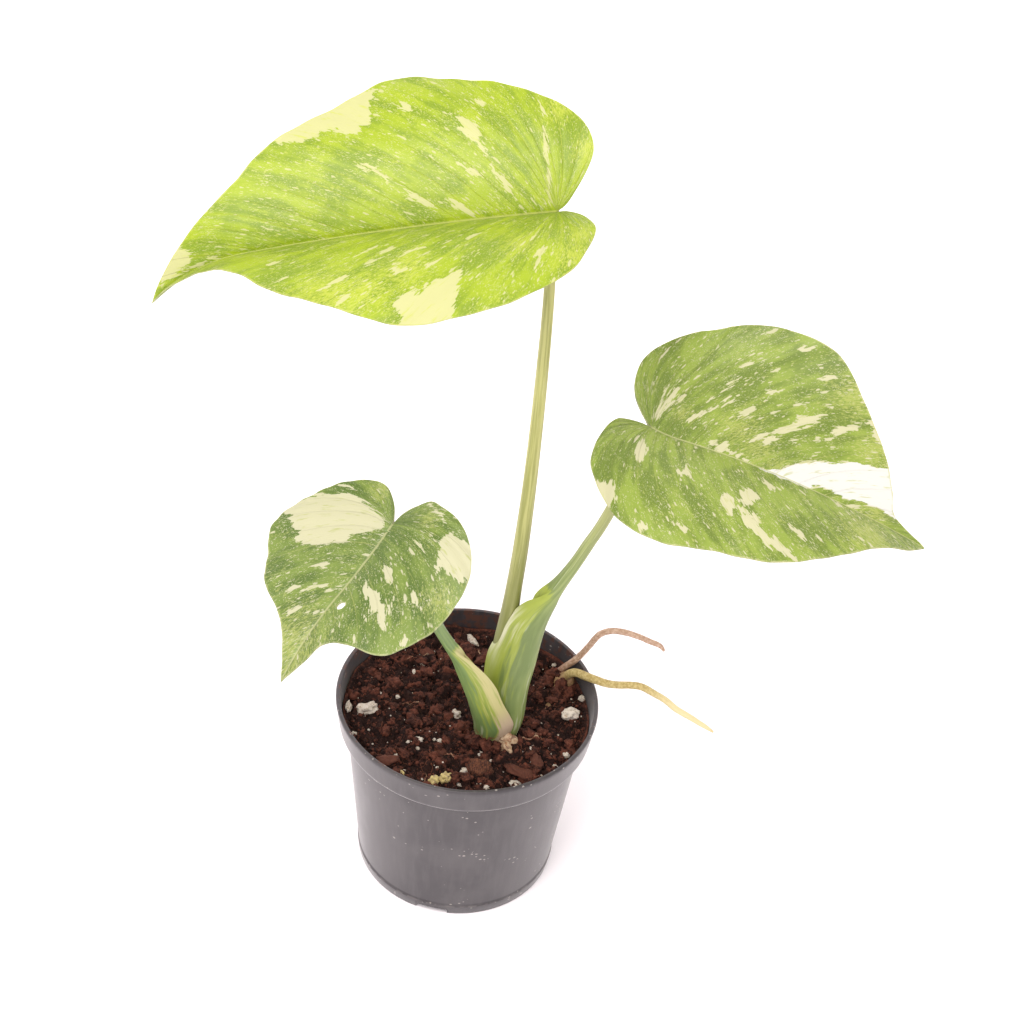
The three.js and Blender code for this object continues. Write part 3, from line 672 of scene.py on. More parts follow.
fibre_material = finish("coir_fibre", roughness=0.7, specular=0.35)
place = place_mm()
fibre_tone = between(cloud(place, size=5, detail=4), 0.38, 0.62)
paint(blend(fibre_tone, fibre_dark, fibre_rust), cloud(place, size=0.3, detail=3), 0.08)
thread_material = finish("feeding_root", roughness=0.6, specular=0.4)
place = place_mm()
thread_tone = between(cloud(place, size=2, detail=4), 0.42, 0.62)
paint(blend(thread_tone, thread_cream, fibre_rust), cloud(place, size=0.4, detail=3), 0.12)

fibres = made("coir_fibres", fibre_mesh, [fibre_material])
feeding = made("feeding_roots", feeding_mesh, [thread_material])
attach(fibres, "root")
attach(feeding, "root")


# Stem base: the short rhizome that all stalks grow from. Only its cut stub shows, cream and
# pale brown with a dark scar, and its feeding roots run down through the mix.
voxel = 0.5
stub_cream = (0.5, 0.38, 0.24, 1)
# The dry stub of an old cut stalk: x, y, length, width, height and turn of its lumps.
stub_lumps = [(18.5, -16.8, 9, 5.4, 9, -25), (22.5, -17.4, 5, 4, 6, -40)]
stub_brown = (0.3, 0.15, 0.075, 1)
stub_scar = (0.1, 0.035, 0.02, 1)

base_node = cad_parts["stem_base"]
base_mesh = bmesh.new()
base_mesh.from_mesh(base_node.data)
bmesh.ops.remove_doubles(base_mesh, verts=base_mesh.verts, dist=0.002 * MM)
bmesh.ops.scale(base_mesh, vec=(1 / MM, 1 / MM, 1 / MM), verts=base_mesh.verts)

stub_material = finish("rhizome_skin", roughness=0.6, specular=0.4)
place = place_mm()
skin = cloud(place, size=2.2, detail=5, roughness=0.62)
rings_of_scar = cloud(stretched(place, 5, 5, 0.7), detail=3)
stub_colour = blend(between(skin, 0.46, 0.66), stub_cream, stub_brown)
stub_colour = blend(between(rings_of_scar, 0.57, 0.64, 0, 0.8), stub_colour, stub_scar)
paint(stub_colour, skin + rings_of_scar, 0.7)

stem_base = made("stem_base", base_mesh, [stub_material])
remesh = stem_base.modifiers.new("even", "REMESH")
remesh.mode = "VOXEL"
remesh.voxel_size = voxel * MM
remesh.use_smooth_shade = True
soften = stem_base.modifiers.new("soften", "SMOOTH")
soften.factor = 0.5
soften.iterations = 6
settle(stem_base)
for vert in stem_base.data.vertices:
    wrinkle = noise.fractal(vert.co / (2.5 * MM), 1.0, 2.0, 3)
    vert.co += 0.22 * MM * wrinkle * vert.normal
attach(stem_base, "root")
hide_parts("stem_base")
stub_mesh = bmesh.new()
for x, y, length, width, height, turn in stub_lumps:
    crumble(stub_mesh, x, y, length, width, height, 0.1, 4, rough=0.08, turn=math.radians(turn))
stub = made("cut_stub", stub_mesh, [stub_material])
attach(stub, "root")


# Petioles: three fleshy stalks, each round at the top and opening at its foot into a sheath
# that clasps the next younger one. They are satin green with fine pale lengthwise streaks.
# A cut is: height, centre x and y, half sizes along and across the facing, and how far the
# channel is open. wrap is how far the two wings reach round, in degrees from the facing;
# body and edge are the sheath's thickness at its back and at its free margins.
tall_petiole = {
    "facing": 95, "wrap": (90, 90), "body": 0, "edge": 0,
    "cuts": [
        (88, 14.6, -8.5, 3.2, 3.2, 0), (100, 13.8, -6.4, 4.2, 4, 0), (115, 13.2, -3, 4.7, 4.5, 0),
        (130, 13.6, 0.3, 4.7, 4.6, 0), (145, 14.9, 4, 4.2, 4.1, 0), (160, 15.9, 7.6, 3.7, 3.6, 0),
        (180, 17.1, 13, 3.4, 3.4, 0), (213, 18.1, 22, 3, 3, 0), (254, 18.3, 33, 2.7, 2.7, 0),
        (292, 17.7, 42.8, 2.4, 2.4, 0), (325, 15.8, 50.3, 2.4, 2.4, 0),
    ],
}
right_petiole = {
    "facing": -20, "wrap": (160, 115), "body": 10, "edge": 0.9,
    "cuts": [
        (86.5, 17, -9, 7.2, 6.4, 0.7), (97, 17.2, -8.3, 9.3, 7.4, 1), (112, 16.7, -5.2, 10.6, 7.8, 1),
        (126, 18, -2, 11.4, 8, 1), (136, 20.3, 0, 10.3, 7.4, 1), (145, 22.6, 1, 9.4, 6.6, 1),
        (152, 25.6, 1.8, 8.2, 5.5, 0.9), (157, 28.4, 2.4, 7, 4.6, 0.75), (161, 31.4, 3.2, 5.2, 3.9, 0.45),
        (167, 35.6, 4.4, 3.6, 3.4, 0.1), (177, 41, 6.2, 3, 3, 0), (187.5, 45.9, 8.2, 2.8, 2.8, 0),
        (202.5, 52.7, 11.2, 2.6, 2.6, 0), (243.4, 67.6, 19.6, 2.4, 2.4, 0),
    ],
}
left_petiole = {
    "facing": 200, "wrap": (105, 138), "body": 6, "edge": 0.9,
    "cuts": [
        (84.5, 11.4, -11.4, 6.4, 6.2, 0.5), (90, 13, -11.8, 8.8, 7.8, 0.8),
        (97, 13.2, -12.8, 9.8, 8.6, 1), (103, 11.6, -13.6, 9.6, 8.4, 1), (112, 8.6, -15.4, 8.6, 7.4, 1),
        (122, 5.4, -17.2, 8.3, 6, 1), (131, 1.6, -19.2, 7.2, 4.9, 0.95), (140, -3, -21.4, 5.2, 3.9, 0.8),
        (147, -7.2, -23.2, 3.9, 3.2, 0.4), (152, -10.2, -24.4, 3.1, 3, 0.1),
        (164, -15.6, -26.8, 2.8, 2.7, 0), (182, -22.2, -29.7, 2.6, 2.5, 0),
        (202, -29.5, -32.8, 2.5, 2.4, 0), (222, -37, -35.8, 2.5, 2.4, 0),
    ],
}
petiole_rings = 150
half_ring_steps = 22
streak_relief = 0.12


def blended(rows, place):
    """Rows of numbers blended smoothly, at a place from 0 at the first to 1 at the last."""
    at = place * (len(rows) - 1)
    i = min(int(at), len(rows) - 2)
    f = at - i
    before, low = np.array([rows[max(i - 1, 0)], rows[i]], float)
    high, after = np.array([rows[i + 1], rows[min(i + 2, len(rows) - 1)]], float)
    start = (2 * f**3 - 3 * f**2 + 1) * low + (f**3 - 2 * f**2 + f) * ((high - before) / 2)
    return start + (3 * f**2 - 2 * f**3) * high + (f**3 - f**2) * ((after - low) / 2)


def petiole_ring(spec, z, x, y, long, wide, opened):
    """A level cut: a body whose two wings wrap round its channel side."""
    outer, inner = [], []
    for i in range(2 * half_ring_steps + 1):
        f = i / half_ring_steps - 1
        widest = spec["wrap"][0] if f < 0 else spec["wrap"][1]
        angle = math.radians(f * (90 + (widest - 90) * opened))
        cos, sin = math.cos(angle), math.sin(angle)
        thick = spec["edge"] + (spec["body"] - spec["edge"]) * math.cos(f * math.pi / 2) ** 4
        outer.append((long * cos, wide * sin))
        channel = ((long - thick) * cos, (wide - thick) * sin)
        round_side = (-long * cos, wide * sin)
        inner.insert(0, [c * opened + r * (1 - opened) for c, r in zip(channel, round_side)])
    ahead = (math.cos(math.radians(spec["facing"])), math.sin(math.radians(spec["facing"])))
    ring = []
    for p, q in outer + inner:
        ring.append(Vector((x + p * ahead[0] - q * ahead[1], y + p * ahead[1] + q * ahead[0], z)))
    return ring


def folded_shut(ring):
    """A ring with each point brought to the middle between it and the one across from it."""
    count = len(ring)
    return [(ring[i] + ring[count - 1 - i]) / 2 for i in range(count)]


def petiole_rings_of(spec, grow=0.0, filled=False):
    """The rings of a petiole, or of the room that it needs."""
    shape = dict(spec, wrap=(90, 90)) if filled else spec
    rings = []
    for i in range(petiole_rings + 1):
        z, x, y, long, wide, opened = blended(spec["cuts"], i / petiole_rings)
        rings.append(petiole_ring(shape, z, x, y, long + grow, wide + grow, 0 if filled else opened))
    return [folded_shut(rings[0])] + rings + [folded_shut(rings[-1])]


def petiole_skin(spec):
    """A petiole's mesh with its streak map: (turn, height)."""
    bm = bmesh.new()
    rings = petiole_rings_of(spec)
    tube(bm, rings, "streaks", [ring[0].z for ring in rings])
    return bm


def petiole_room(spec):
    """A solid to cut a sheath clear of the petiole that it clasps."""
    bm = bmesh.new()
    tube(bm, petiole_rings_of(spec, grow=gap, filled=True))
    return made("room", bm, [])


def new_group(name, inputs, outputs):
    """A new node group, which is the tree at hand from here on: (group, its inputs)."""
    group = bpy.data.node_groups.new(name, "ShaderNodeTree")
    for way, sockets in (("INPUT", inputs), ("OUTPUT", outputs)):
        for socket, kind in sockets.items():
            group.interface.new_socket(socket, in_out=way, socket_type="NodeSocket" + kind)
    Wire.tree = group
    return group, put("NodeGroupInput")


# Streaks along a stalk: greens and cream that change round it, in long fine lines.
stalk_streaks, inside = new_group(
    "stalk_streaks",
    {"Streaks": "Vector", "Deep": "Color", "Bright": "Color", "Pale": "Color", "Pale share": "Float"},
    {"Color": "Color", "Height": "Float"},
)
turn = put("SeparateXYZ", {0: inside["Streaks"]})
angle = turn[0] * (2 * math.pi)
round_place = put(
    "CombineXYZ", {0: reckoned("COSINE", angle) * 3.2, 1: reckoned("SINE", angle) * 3.2, 2: turn[1]},
)
broad = cloud(stretched(round_place, 1.6, 1.6, 45), detail=3)
fine = cloud(stretched(round_place, 0.3, 0.3, 9), detail=3)
line = cloud(stretched(round_place, 0.5, 0.5, 22), detail=2)
colour = blend(between(broad, 0.38, 0.62), inside["Deep"], inside["Bright"])
colour = blend(between(fine, 0.45, 0.8, 0, 0.5), colour, inside["Bright"])
threshold = 0.78 - inside["Pale share"] * 0.3
pale = between(line - threshold, -0.03, 0.04, 0, 0.8)
put("NodeGroupOutput", {"Color": blend(pale, colour, inside["Pale"]), "Height": fine + broad})


def stalk_finish(name, deep, bright, pale, pale_share):
    """A stalk's skin: (material, its streaks, the height up the stalk)."""
    material = finish(name, roughness=0.42, specular=0.5)
    streaks = put("UVMap", uv_map="streaks")
    colours = {"Deep": deep, "Bright": bright, "Pale": pale, "Pale share": pale_share}
    skin = put("Group", {"Streaks": streaks, **colours}, node_tree=stalk_streaks)
    return material, skin, put("SeparateXYZ", {0: streaks})[1]


def sheath_rim():
    """How near the sheath's free margins are, in bands along them that run out in streaks."""
    uneven = cloud(stretched(put("UVMap", uv_map="streaks"), 0.022, 26, 1), detail=3)
    return (uneven - 0.5) * 1.1 + put("Attribute", attribute_name="sheath_rim")["Fac"]


def mark_rim(piece, spec):
    """Writes how near each point is to the sheath's free margins, 0 in the body and 1 at them."""
    data = piece.data
    layer = data.attributes.new("sheath_rim", "FLOAT", "POINT")
    table = np.array([blended(spec["cuts"], i / 400) for i in range(401)])
    values = []
    facing = math.radians(spec["facing"])
    for vert in data.vertices:
        z = vert.co.z / MM
        row = [np.interp(z, table[:, 0], table[:, k]) for k in range(6)]
        dx, dy = vert.co.x / MM - row[1], vert.co.y / MM - row[2]
        p = dx * math.cos(facing) + dy * math.sin(facing)
        q = -dx * math.sin(facing) + dy * math.cos(facing)
        angle = math.degrees(math.atan2(q / row[4], p / row[3]))
        widest = spec["wrap"][0] if angle < 0 else spec["wrap"][1]
        share = min(1, abs(angle) / (90 + (widest - 90) * max(row[5], 0.01)))
        values.append(share * min(1, max(0, 2.4 * row[5])))
    layer.data.foreach_set("value", values)


# The tall petiole carries the large leaf. It is the youngest, and olive at its top.
tall_deep = (0.25, 0.262, 0.07, 1)
tall_bright = (0.42, 0.425, 0.15, 1)
tall_pale = (0.5, 0.5, 0.25, 1)
tall_low = (0.128, 0.148, 0.028, 1)
tall_green_between = (230, 120)  # the heights from which and at which it is green
material, skin, height_up = stalk_finish("tall_stalk_skin", tall_deep, tall_bright, tall_pale, 0.35)
low_green = between(height_up, *tall_green_between, 0, 0.8)
paint(blend(low_green, skin["Color"], tall_low), skin["Height"], streak_relief)
petiole_tall = made("petiole_tall", petiole_skin(tall_petiole), [material], crease=60)
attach(petiole_tall, "root")
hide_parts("petiole_tall")

# The right petiole carries the right leaf. Its yellow green sheath clasps the tall one, and
# the sheath's margin has dried white near its top.
right_stalk_deep = (0.13, 0.185, 0.05, 1)
right_stalk_bright = (0.22, 0.28, 0.09, 1)
right_stalk_pale = (0.38, 0.43, 0.26, 1)
right_top_olive = (0.36, 0.36, 0.15, 1)
right_olive_between = (160, 225)
rim_white_from = (122, 140)
rim_white_to = (156, 149)
sheath_yellow = (0.29, 0.35, 0.045, 1)
sheath_white = (0.55, 0.56, 0.36, 1)
material, skin, height_up = stalk_finish(
    "right_stalk_skin", right_stalk_deep, right_stalk_bright, right_stalk_pale, 0.5,
)
rim = sheath_rim()
colour = blend(between(height_up, *right_olive_between, 0, 0.8), skin["Color"], right_top_olive)
colour = blend(between(rim, 0.4, 0.66, 0, 0.85), colour, sheath_yellow)
white_run = between(height_up, *rim_white_from) * between(height_up, *rim_white_to)
upper_rim = between(rim, 0.66, 0.95) * white_run
paint(blend(upper_rim, colour, sheath_white), skin["Height"], streak_relief)
petiole_right = made("petiole_right", petiole_skin(right_petiole), [material], crease=60)
cut(petiole_right, [petiole_room(tall_petiole)], crease=60)
mark_rim(petiole_right, right_petiole)
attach(petiole_right, "root")
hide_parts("petiole_right")

# The left petiole carries the small leaf. It is the oldest: the cream margin of its sheath
# clasps the right one, goes pink at its foot and ends in a brown scar.
left_deep = (0.115, 0.185, 0.058, 1)
left_bright = (0.18, 0.265, 0.08, 1)
left_pale = (0.33, 0.38, 0.22, 1)
wing_cream = (0.47, 0.44, 0.19, 1)
wing_pink = (0.46, 0.36, 0.25, 1)
scar_brown = (0.17, 0.075, 0.035, 1)
pink_below = (112, 98)
scar_below = (95, 92.5)
material, skin, height_up = stalk_finish("left_stalk_skin", left_deep, left_bright, left_pale, 0.4)
rim = sheath_rim()
colour = blend(between(rim, 0.42, 0.6, 0, 0.75), skin["Color"], sheath_yellow)
colour = blend(between(rim, 0.6, 0.84, 0, 0.95), colour, wing_cream)
colour = blend(between(rim, 0.55, 0.75) * between(height_up, *pink_below), colour, wing_pink)
scar = between(cloud(place_mm(), size=1.6, detail=4), 0.5, 0.6) * between(height_up, *scar_below)
paint(blend(scar, colour, scar_brown), skin["Height"], streak_relief)
petiole_left = made("petiole_left", petiole_skin(left_petiole), [material], crease=60)
cut(petiole_left, [petiole_room(right_petiole), petiole_room(tall_petiole)], crease=60)
mark_rim(petiole_left, left_petiole)
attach(petiole_left, "root")
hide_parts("petiole_left")


# Leaves: thin leathery heart-shaped blades, folded along the midrib, whose side veins sweep
# out to the margin. All are flecked, streaked and splashed with cream along those veins.
# joint is where the stalk meets the blade. fold is how a half rises from the midrib, in
# degrees, curl how it bends down again, and the bends are along the midrib, all in 1/mm.
# reach is the outline's distance from the joint at the rays, in degrees from the tip.
rays = (0, 4, 10, 20, 35, 50, 65, 80, 95, 110, 125, 140, 155)
large_leaf = {
    "joint": (17.4, 50, 326.9), "turn": 184.5, "dip": 9.7, "roll": -11.6, "bends": (0.001, 0.001, 0.014),
    "tip_start": 129, "left": (33, 0.012, (182, 149, 133, 120, 102, 90, 73, 60, 51, 37, 26, 10, 3)),
    "right": (51, 0.015, (182, 157, 139, 124, 105, 94, 72, 56, 47, 39, 29, 9, 3)), "vein_bow": 0.3,
}
right_leaf = {
    "joint": (66.5, 20, 245.1), "turn": -18.4, "dip": 16.2, "roll": 5.8, "bends": (-0.02, -0.024, 0.003),
    "tip_start": 12.8, "left": (0.5, -0.009, (124, 108, 104, 98, 91, 87, 75, 62, 54, 44, 34, 20, 5)),
    "right": (22.7, 0.011, (124, 119, 109, 100, 91, 77, 71, 62, 54, 47, 33, 20, 5)), "vein_bow": 0.55,
}
small_leaf = {
    "joint": (-36.5, -35, 223.9), "turn": 240.1, "dip": 27.8, "roll": 18,
    "bends": (-0.004, -0.004, 0.008), "tip_start": 38,
    "left": (9.4, 0.013, (80, 72, 61, 60, 65, 61, 54, 48, 40, 32, 24, 19, 7)),
    "right": (11.4, 0.003, (80, 71, 63, 58, 57, 55, 55, 49, 38, 31, 25, 18, 7)), "vein_bow": 0.45,
}
blade_thickness = 0.8
rib_depth = 1.6
wave_height = 0.8
waves = 5  # along each half's margin
fine_wave_height = 0.25
fine_waves = 17
quilt_height = 0.22
vein_start = 0.42  # share of the half margin whose veins all leave the joint
vein_crowding = 1.8  # how the feet of the other veins crowd towards the joint
vein_spacing = 9.5
channel_depth = 0.45
channel_width = 1.1
# Width, length and share of the cells that hold a fleck, for each size of fleck.
fleck_sizes = (
    (0.42, 0.8, 0.3), (0.62, 1.4, 0.22), (0.95, 2.6, 0.15), (1.5, 4.2, 0.075), (2.4, 6.5, 0.025),
    (4.2, 10, 0.006),
)


def flowing_line(points, count):
    """count + 1 even steps along a smooth line through points, with any further numbers
    blended along it in the same way. The line is placed by the first three."""
    rows = np.array(points, float)
    rows = np.vstack([2 * rows[0] - rows[1], rows, 2 * rows[-1] - rows[-2]])
    dense = []
    for i in range(1, len(rows) - 2):
        p = rows[i - 1 : i + 3]
        gaps = [max(np.linalg.norm((p[k + 1] - p[k])[:3]) ** 0.5, 1e-4) for k in range(3)]
        slope_in = (p[1] - p[0]) / gaps[0] - (p[2] - p[0]) / (gaps[0] + gaps[1]) + (p[2] - p[1]) / gaps[1]
        slope_out = (p[2] - p[1]) / gaps[1] - (p[3] - p[1]) / (gaps[1] + gaps[2]) + (p[3] - p[2]) / gaps[2]
        a, b = slope_in * gaps[1], slope_out * gaps[1]
        for f in np.linspace(0, 1, 40, endpoint=i == len(rows) - 3):
            cubic = (-3 * p[1] + 3 * p[2] - 2 * a - b) * f**2 + (2 * p[1] - 2 * p[2] + a + b) * f**3
            dense.append(p[1] + a * f + cubic)
    dense = np.array(dense)
    run = np.concatenate([[0], np.cumsum(np.linalg.norm(np.diff(dense[:, :3], axis=0), axis=1))])
    even = np.linspace(0, run[-1], count + 1)
    return np.stack([np.interp(even, run, column) for column in dense.T], axis=1)


def bent(leaf, u, v):
    """Places in space of flat blade points, u along and v across the midrib, as arrays."""
    folds = np.radians(np.where(v >= 0, leaf["left"][0], leaf["right"][0]))
    curls = np.where(v >= 0, leaf["left"][1], leaf["right"][1])
    t = np.abs(v)
    out = (np.sin(folds) - np.sin(folds - curls * t)) / curls
    rise = (np.cos(folds - curls * t) - np.cos(folds)) / curls
    lengths = (np.minimum(u, 0), np.clip(u, 0, leaf["tip_start"]), np.maximum(u - leaf["tip_start"], 0))
    slope, x, z = np.zeros_like(u), np.zeros_like(u), np.zeros_like(u)
    for length, bend in zip(lengths, leaf["bends"]):
        end = slope + bend * length
        x = x + (np.sin(end) - np.sin(slope)) / bend
        z = z + (np.cos(end) - np.cos(slope)) / bend
        slope = end
    local = np.stack([x + rise * np.sin(slope), np.sign(v) * out, z + rise * np.cos(slope)], axis=-1)
    turn = Matrix.Identity(3)
    for key, axis in (("turn", "Z"), ("dip", "Y"), ("roll", "X")):
        turn = turn @ Matrix.Rotation(math.radians(leaf[key]), 3, axis)
    return local @ np.array(turn).T + np.array(leaf["joint"])


def upward(leaf, u, v):
    """The upper face's normals at flat blade points."""
    step = 0.5
    along = bent(leaf, u + step, v) - bent(leaf, u - step, v)
    across = bent(leaf, u, v + step) - bent(leaf, u, v - step)
    normal = np.cross(along, across)
    return normal / np.linalg.norm(normal, axis=-1, keepdims=True)


def off_line(a, b, u, v):
    """How far flat points lie from the line from a to b, and their share of the way along it."""
    side = b - a
    share = np.clip(((u - a[0]) * side[0] + (v - a[1]) * side[1]) / side.dot(side), 0, 1)
    return np.hypot(u - a[0] - share * side[0], v - a[1] - share * side[1]), share


def depth_in_area(points, u, v):
    """How deep flat points lie inside an outlined area, in mm, and below 0 outside it."""
    corners = np.array(points, float)
    nearest = np.full(u.shape, 1e9)
    inside = np.zeros(u.shape, bool)
    for a, b in zip(corners, np.roll(corners, -1, axis=0)):
        nearest = np.minimum(nearest, off_line(a, b, u, v)[0])
        crosses = (a[1] > v) != (b[1] > v)
        rise = b[1] - a[1]
        safe = rise if abs(rise) > 1e-9 else 1e-9
        inside ^= crosses & (u < (b[0] - a[0]) * (v - a[1]) / safe + a[0])
    return np.where(inside, nearest, -nearest)


def depth_in_streak(points, width, u, v):
    """The same for a streak drawn through points, which tapers to its ends."""
    corners = np.array(points, float)
    steps = len(points) - 1
    depths = []
    for i in range(steps):
        off, share = off_line(corners[i], corners[i + 1], u, v)
        half = 0.5 * width * np.sin(math.pi * (0.1 + 0.8 * (i + share) / steps)) ** 0.6
        depths.append(half - off)
    return np.maximum.reduce(depths)


def blade_mesh(leaf, rows, half_columns, areas=(), streaks=(), spots=(), mottled=(), white=()):
    """A blade with its maps: veins (across and along the side veins), flat (along and across
    the midrib), cream and white (depth in those splashes), mottle and margin (how far it is)."""
    bm = bmesh.new()
    length = leaf["left"][2][0]
    s = np.linspace(0, 1, rows + 1)
    foot = length * np.maximum(0, (s - vein_start) / (1 - vein_start)) ** vein_crowding
    half_u, half_v, half_across, half_along = {}, {}, {}, {}
    t = np.linspace(0, 1, half_columns + 1) ** 1.15
    for sign, key in ((1, "left"), (-1, "right")):
        reach = leaf[key][2]
        outline = [(0, 0, 0)]
        for ray, r in reversed(list(zip(rays, reach))):
            outline.append((r * math.cos(math.radians(ray)), sign * r * math.sin(math.radians(ray)), 0))
        ends = flowing_line(outline, rows)
        bow = leaf["vein_bow"] * np.abs(ends[:, 1:2]) * t * (1 - t)
        half_u[sign] = foot[:, None] + (ends[:, :1] - foot[:, None]) * t - bow
        half_v[sign] = ends[:, 1:2] * t
        middle = np.stack([half_u[sign], half_v[sign]], axis=-1)[:, int(0.75 * half_columns)]
        side_step = np.linalg.norm(np.diff(middle, axis=0), axis=1)
        along_step = np.linalg.norm(
            np.diff(np.stack([half_u[sign], half_v[sign]], axis=-1), axis=1), axis=2,
        )
        half_across[sign] = np.concatenate([[0], np.cumsum(side_step)])[:, None] + 0 * t
        half_along[sign] = np.concatenate([np.zeros((rows + 1, 1)), np.cumsum(along_step, axis=1)], axis=1)

    def whole(halves):
        """One array from margin to margin, from those of the two halves."""
        return np.concatenate([halves[-1][:, :0:-1], halves[1]], axis=1)

    u, v = whole(half_u), whole(half_v)
    along = whole(half_along)
    margin = whole({sign: half_along[sign][:, -1:] - half_along[sign] for sign in (1, -1)})
    share = np.concatenate([-t[:0:-1], t])[None, :] + 0 * u
    sign = np.sign(share)
    taper = np.sin(math.pi * s)[:, None] ** 0.5
    wave = wave_height * share**2 * np.sin(2 * math.pi * (waves * s[:, None] + 0.2 * sign))
    fine = fine_wave_height * share**4 * np.sin(2 * math.pi * (fine_waves * s[:, None] + 0.3 * sign))
    wave = taper * (wave + fine)
    across = whole(half_across)
    cushion = np.abs(np.cos(math.pi * across / vein_spacing)) ** 0.7
    quilt = quilt_height * np.sin(math.pi * np.clip(np.abs(share), 0, 1)) * cushion
    channel = channel_depth * np.exp(-((v / channel_width) ** 2)) * (1 - np.clip(u / length, 0, 1)) ** 0.5
    normal = upward(leaf, u, v)
    top = bent(leaf, u, v) + normal * (wave + quilt - channel)[..., None]
    rib = rib_depth * np.exp(-((v / 1.5) ** 2)) * (1 - np.clip(foot[:, None] / length, 0, 1)) ** 0.7
    rib = rib * np.clip((u + 6) / 6, 0, 1)
    thickness = blade_thickness * (0.55 + 0.45 * np.clip(margin / 3, 0, 1))
    under = bent(leaf, u, v) + normal * (wave + 0.6 * quilt - thickness - rib)[..., None]
    for surface in (top, under):
        surface[0, :] = surface[0, half_columns]
        surface[-1, :] = surface[-1, half_columns]

    far_outside = np.full(u.shape, -30.0)
    splashes = [depth_in_area(points, u, v) for points in areas]
    splashes += [depth_in_streak(points, width, u, v) for width, points in streaks]
    side = np.where(v >= 0, 1.0, -1.0)
    for spot_u, spot_v, spot_length, spot_width in spots:
        nearest = np.unravel_index(np.argmin(np.hypot(u - spot_u, v - spot_v)), u.shape)
        off = np.hypot(
            (across - across[nearest]) / (spot_width / 2), (along - along[nearest]) / (spot_length / 2),
        )
        splashes.append((1 - off) * spot_width / 2 - np.where(side == side[nearest], 0, 30))
    bleached = [depth_in_area(points, u, v) for points in white]
    zones = [1 - np.hypot(u - zone_u, v - zone_v) / radius for zone_u, zone_v, radius in mottled]
    measures = {
        "cream": np.maximum.reduce([far_outside] + splashes),
        "white": np.maximum.reduce([far_outside] + bleached),
        "mottle": np.maximum.reduce([np.zeros(u.shape)] + zones),
        "margin": margin,
    }

    wide = 2 * half_columns
    layers = {name: bm.verts.layers.float.new(name) for name in measures}
    maps = {name: bm.loops.layers.uv.new(name) for name in ("veins", "flat")}
    rims = []
    for skin, surface in enumerate((top, under)):
        grid = bmesh.ops.create_grid(bm, x_segments=wide, y_segments=rows, size=1)["verts"]
        where = {}
        for index, vert in enumerate(grid):
            row, column = divmod(index, wide + 1)
            vert.co = surface[row, column]
            where[vert] = (row, column)
            for name, values in measures.items():
                vert[layers[name]] = values[row, column]
        faces = list(dict.fromkeys(face for vert in grid for face in vert.link_faces))
        for face in faces:
            face.material_index = skin
            is_left = all(where[vert][1] >= half_columns for vert in face.verts)
            for loop in face.loops:
                row, column = where[loop.vert]
                far_side = 0 if is_left else 500
                loop[maps["veins"]].uv = (across[row, column] + far_side, along[row, column])
                loop[maps["flat"]].uv = (u[row, column], v[row, column])
        rims.append([edge for face in faces for edge in face.edges if edge.is_boundary])
    walls = bmesh.ops.bridge_loops(bm, edges=list(dict.fromkeys(rims[0] + rims[1])))
    for face in walls["faces"]:
        face.material_index = 1
    return bm


# Flecks of one size: ragged spots in the cells of a plane, drawn out along its y.
fleck_raggedness = 0.7
flecks, inside = new_group(
    "flecks", {"Place": "Vector", "Width": "Float", "Length": "Float", "Share": "Float"},
    {"Mask": "Float"},
)
cell = stretched(inside["Place"], inside["Width"], inside["Length"], 1)
warp = put("TexNoise", {"Vector": cell, "Scale": 1.7, "Detail": 3.0})["Color"]
centred = put("VectorMath", {0: warp, 1: (0.5, 0.5, 0.5)}, operation="SUBTRACT")
shift = put("VectorMath", {0: centred, "Scale": fleck_raggedness}, operation="SCALE")
torn = {"Vector": put("VectorMath", {0: cell, 1: shift}, operation="ADD"), "Scale": 1, "Randomness": 1}
cells = put("TexVoronoi", torn, voronoi_dimensions="2D", feature="F1")
draw = put("SeparateColor", {0: cells["Color"]})
above = (draw - (1.0 - inside["Share"])) / inside["Share"]
spot = between(cells["Distance"] - (above * 0.22 + 0.12), 0.03, -0.05)
put("NodeGroupOutput", {"Mask": spot * reckoned("GREATER_THAN", above, 0.0)})

# A blade's colour: two greens along the veins, mottled yellow, with cream splashes,
# flecks, pale veins and a pale margin.
blade_colours = ("Deep", "Bright", "Yellow", "Cream", "White")
blade_maps = {"Veins": "veins", "Flat": "flat"}
blade_depths = {"Cream depth": "cream", "White depth": "white", "Mottle": "mottle", "Margin": "margin"}
variegation, inside = new_group(
    "variegation",
    {
        **dict.fromkeys(blade_maps, "Vector"), **dict.fromkeys(blade_depths, "Float"),
        "Fleck amount": "Float", **dict.fromkeys(blade_colours, "Color"),
    },
    {"Color": "Color", "Height": "Float", "Splashed": "Float"},
)
veins = inside["Veins"]
flat = inside["Flat"]
bright = inside["Bright"]
yellow = inside["Yellow"]
cream = inside["Cream"]
sectors = cloud(stretched(veins, 6, 34, 1), detail=4)
drifts = cloud(flat, size=24, detail=3)
tone = between(sectors + drifts * 0.8, 0.78, 1.05)
colour = blend(tone, inside["Deep"], bright)
grain = cloud(stretched(veins, 0.6, 1.5, 1), detail=3)
colour = blend(between(grain, 0.5, 0.72, 0, 0.45), colour, bright)

# Yellow mottling: fine grains of yellow that run together in some zones.
zone = inside["Mottle"] * 0.22 + drifts * 0.12
mottle_grain = cloud(stretched(veins, 0.8, 2.2, 1), detail=4, roughness=0.65)
mottle = between(mottle_grain + zone, 0.6, 0.84, 0, 0.8)
colour = blend(mottle, colour, yellow)

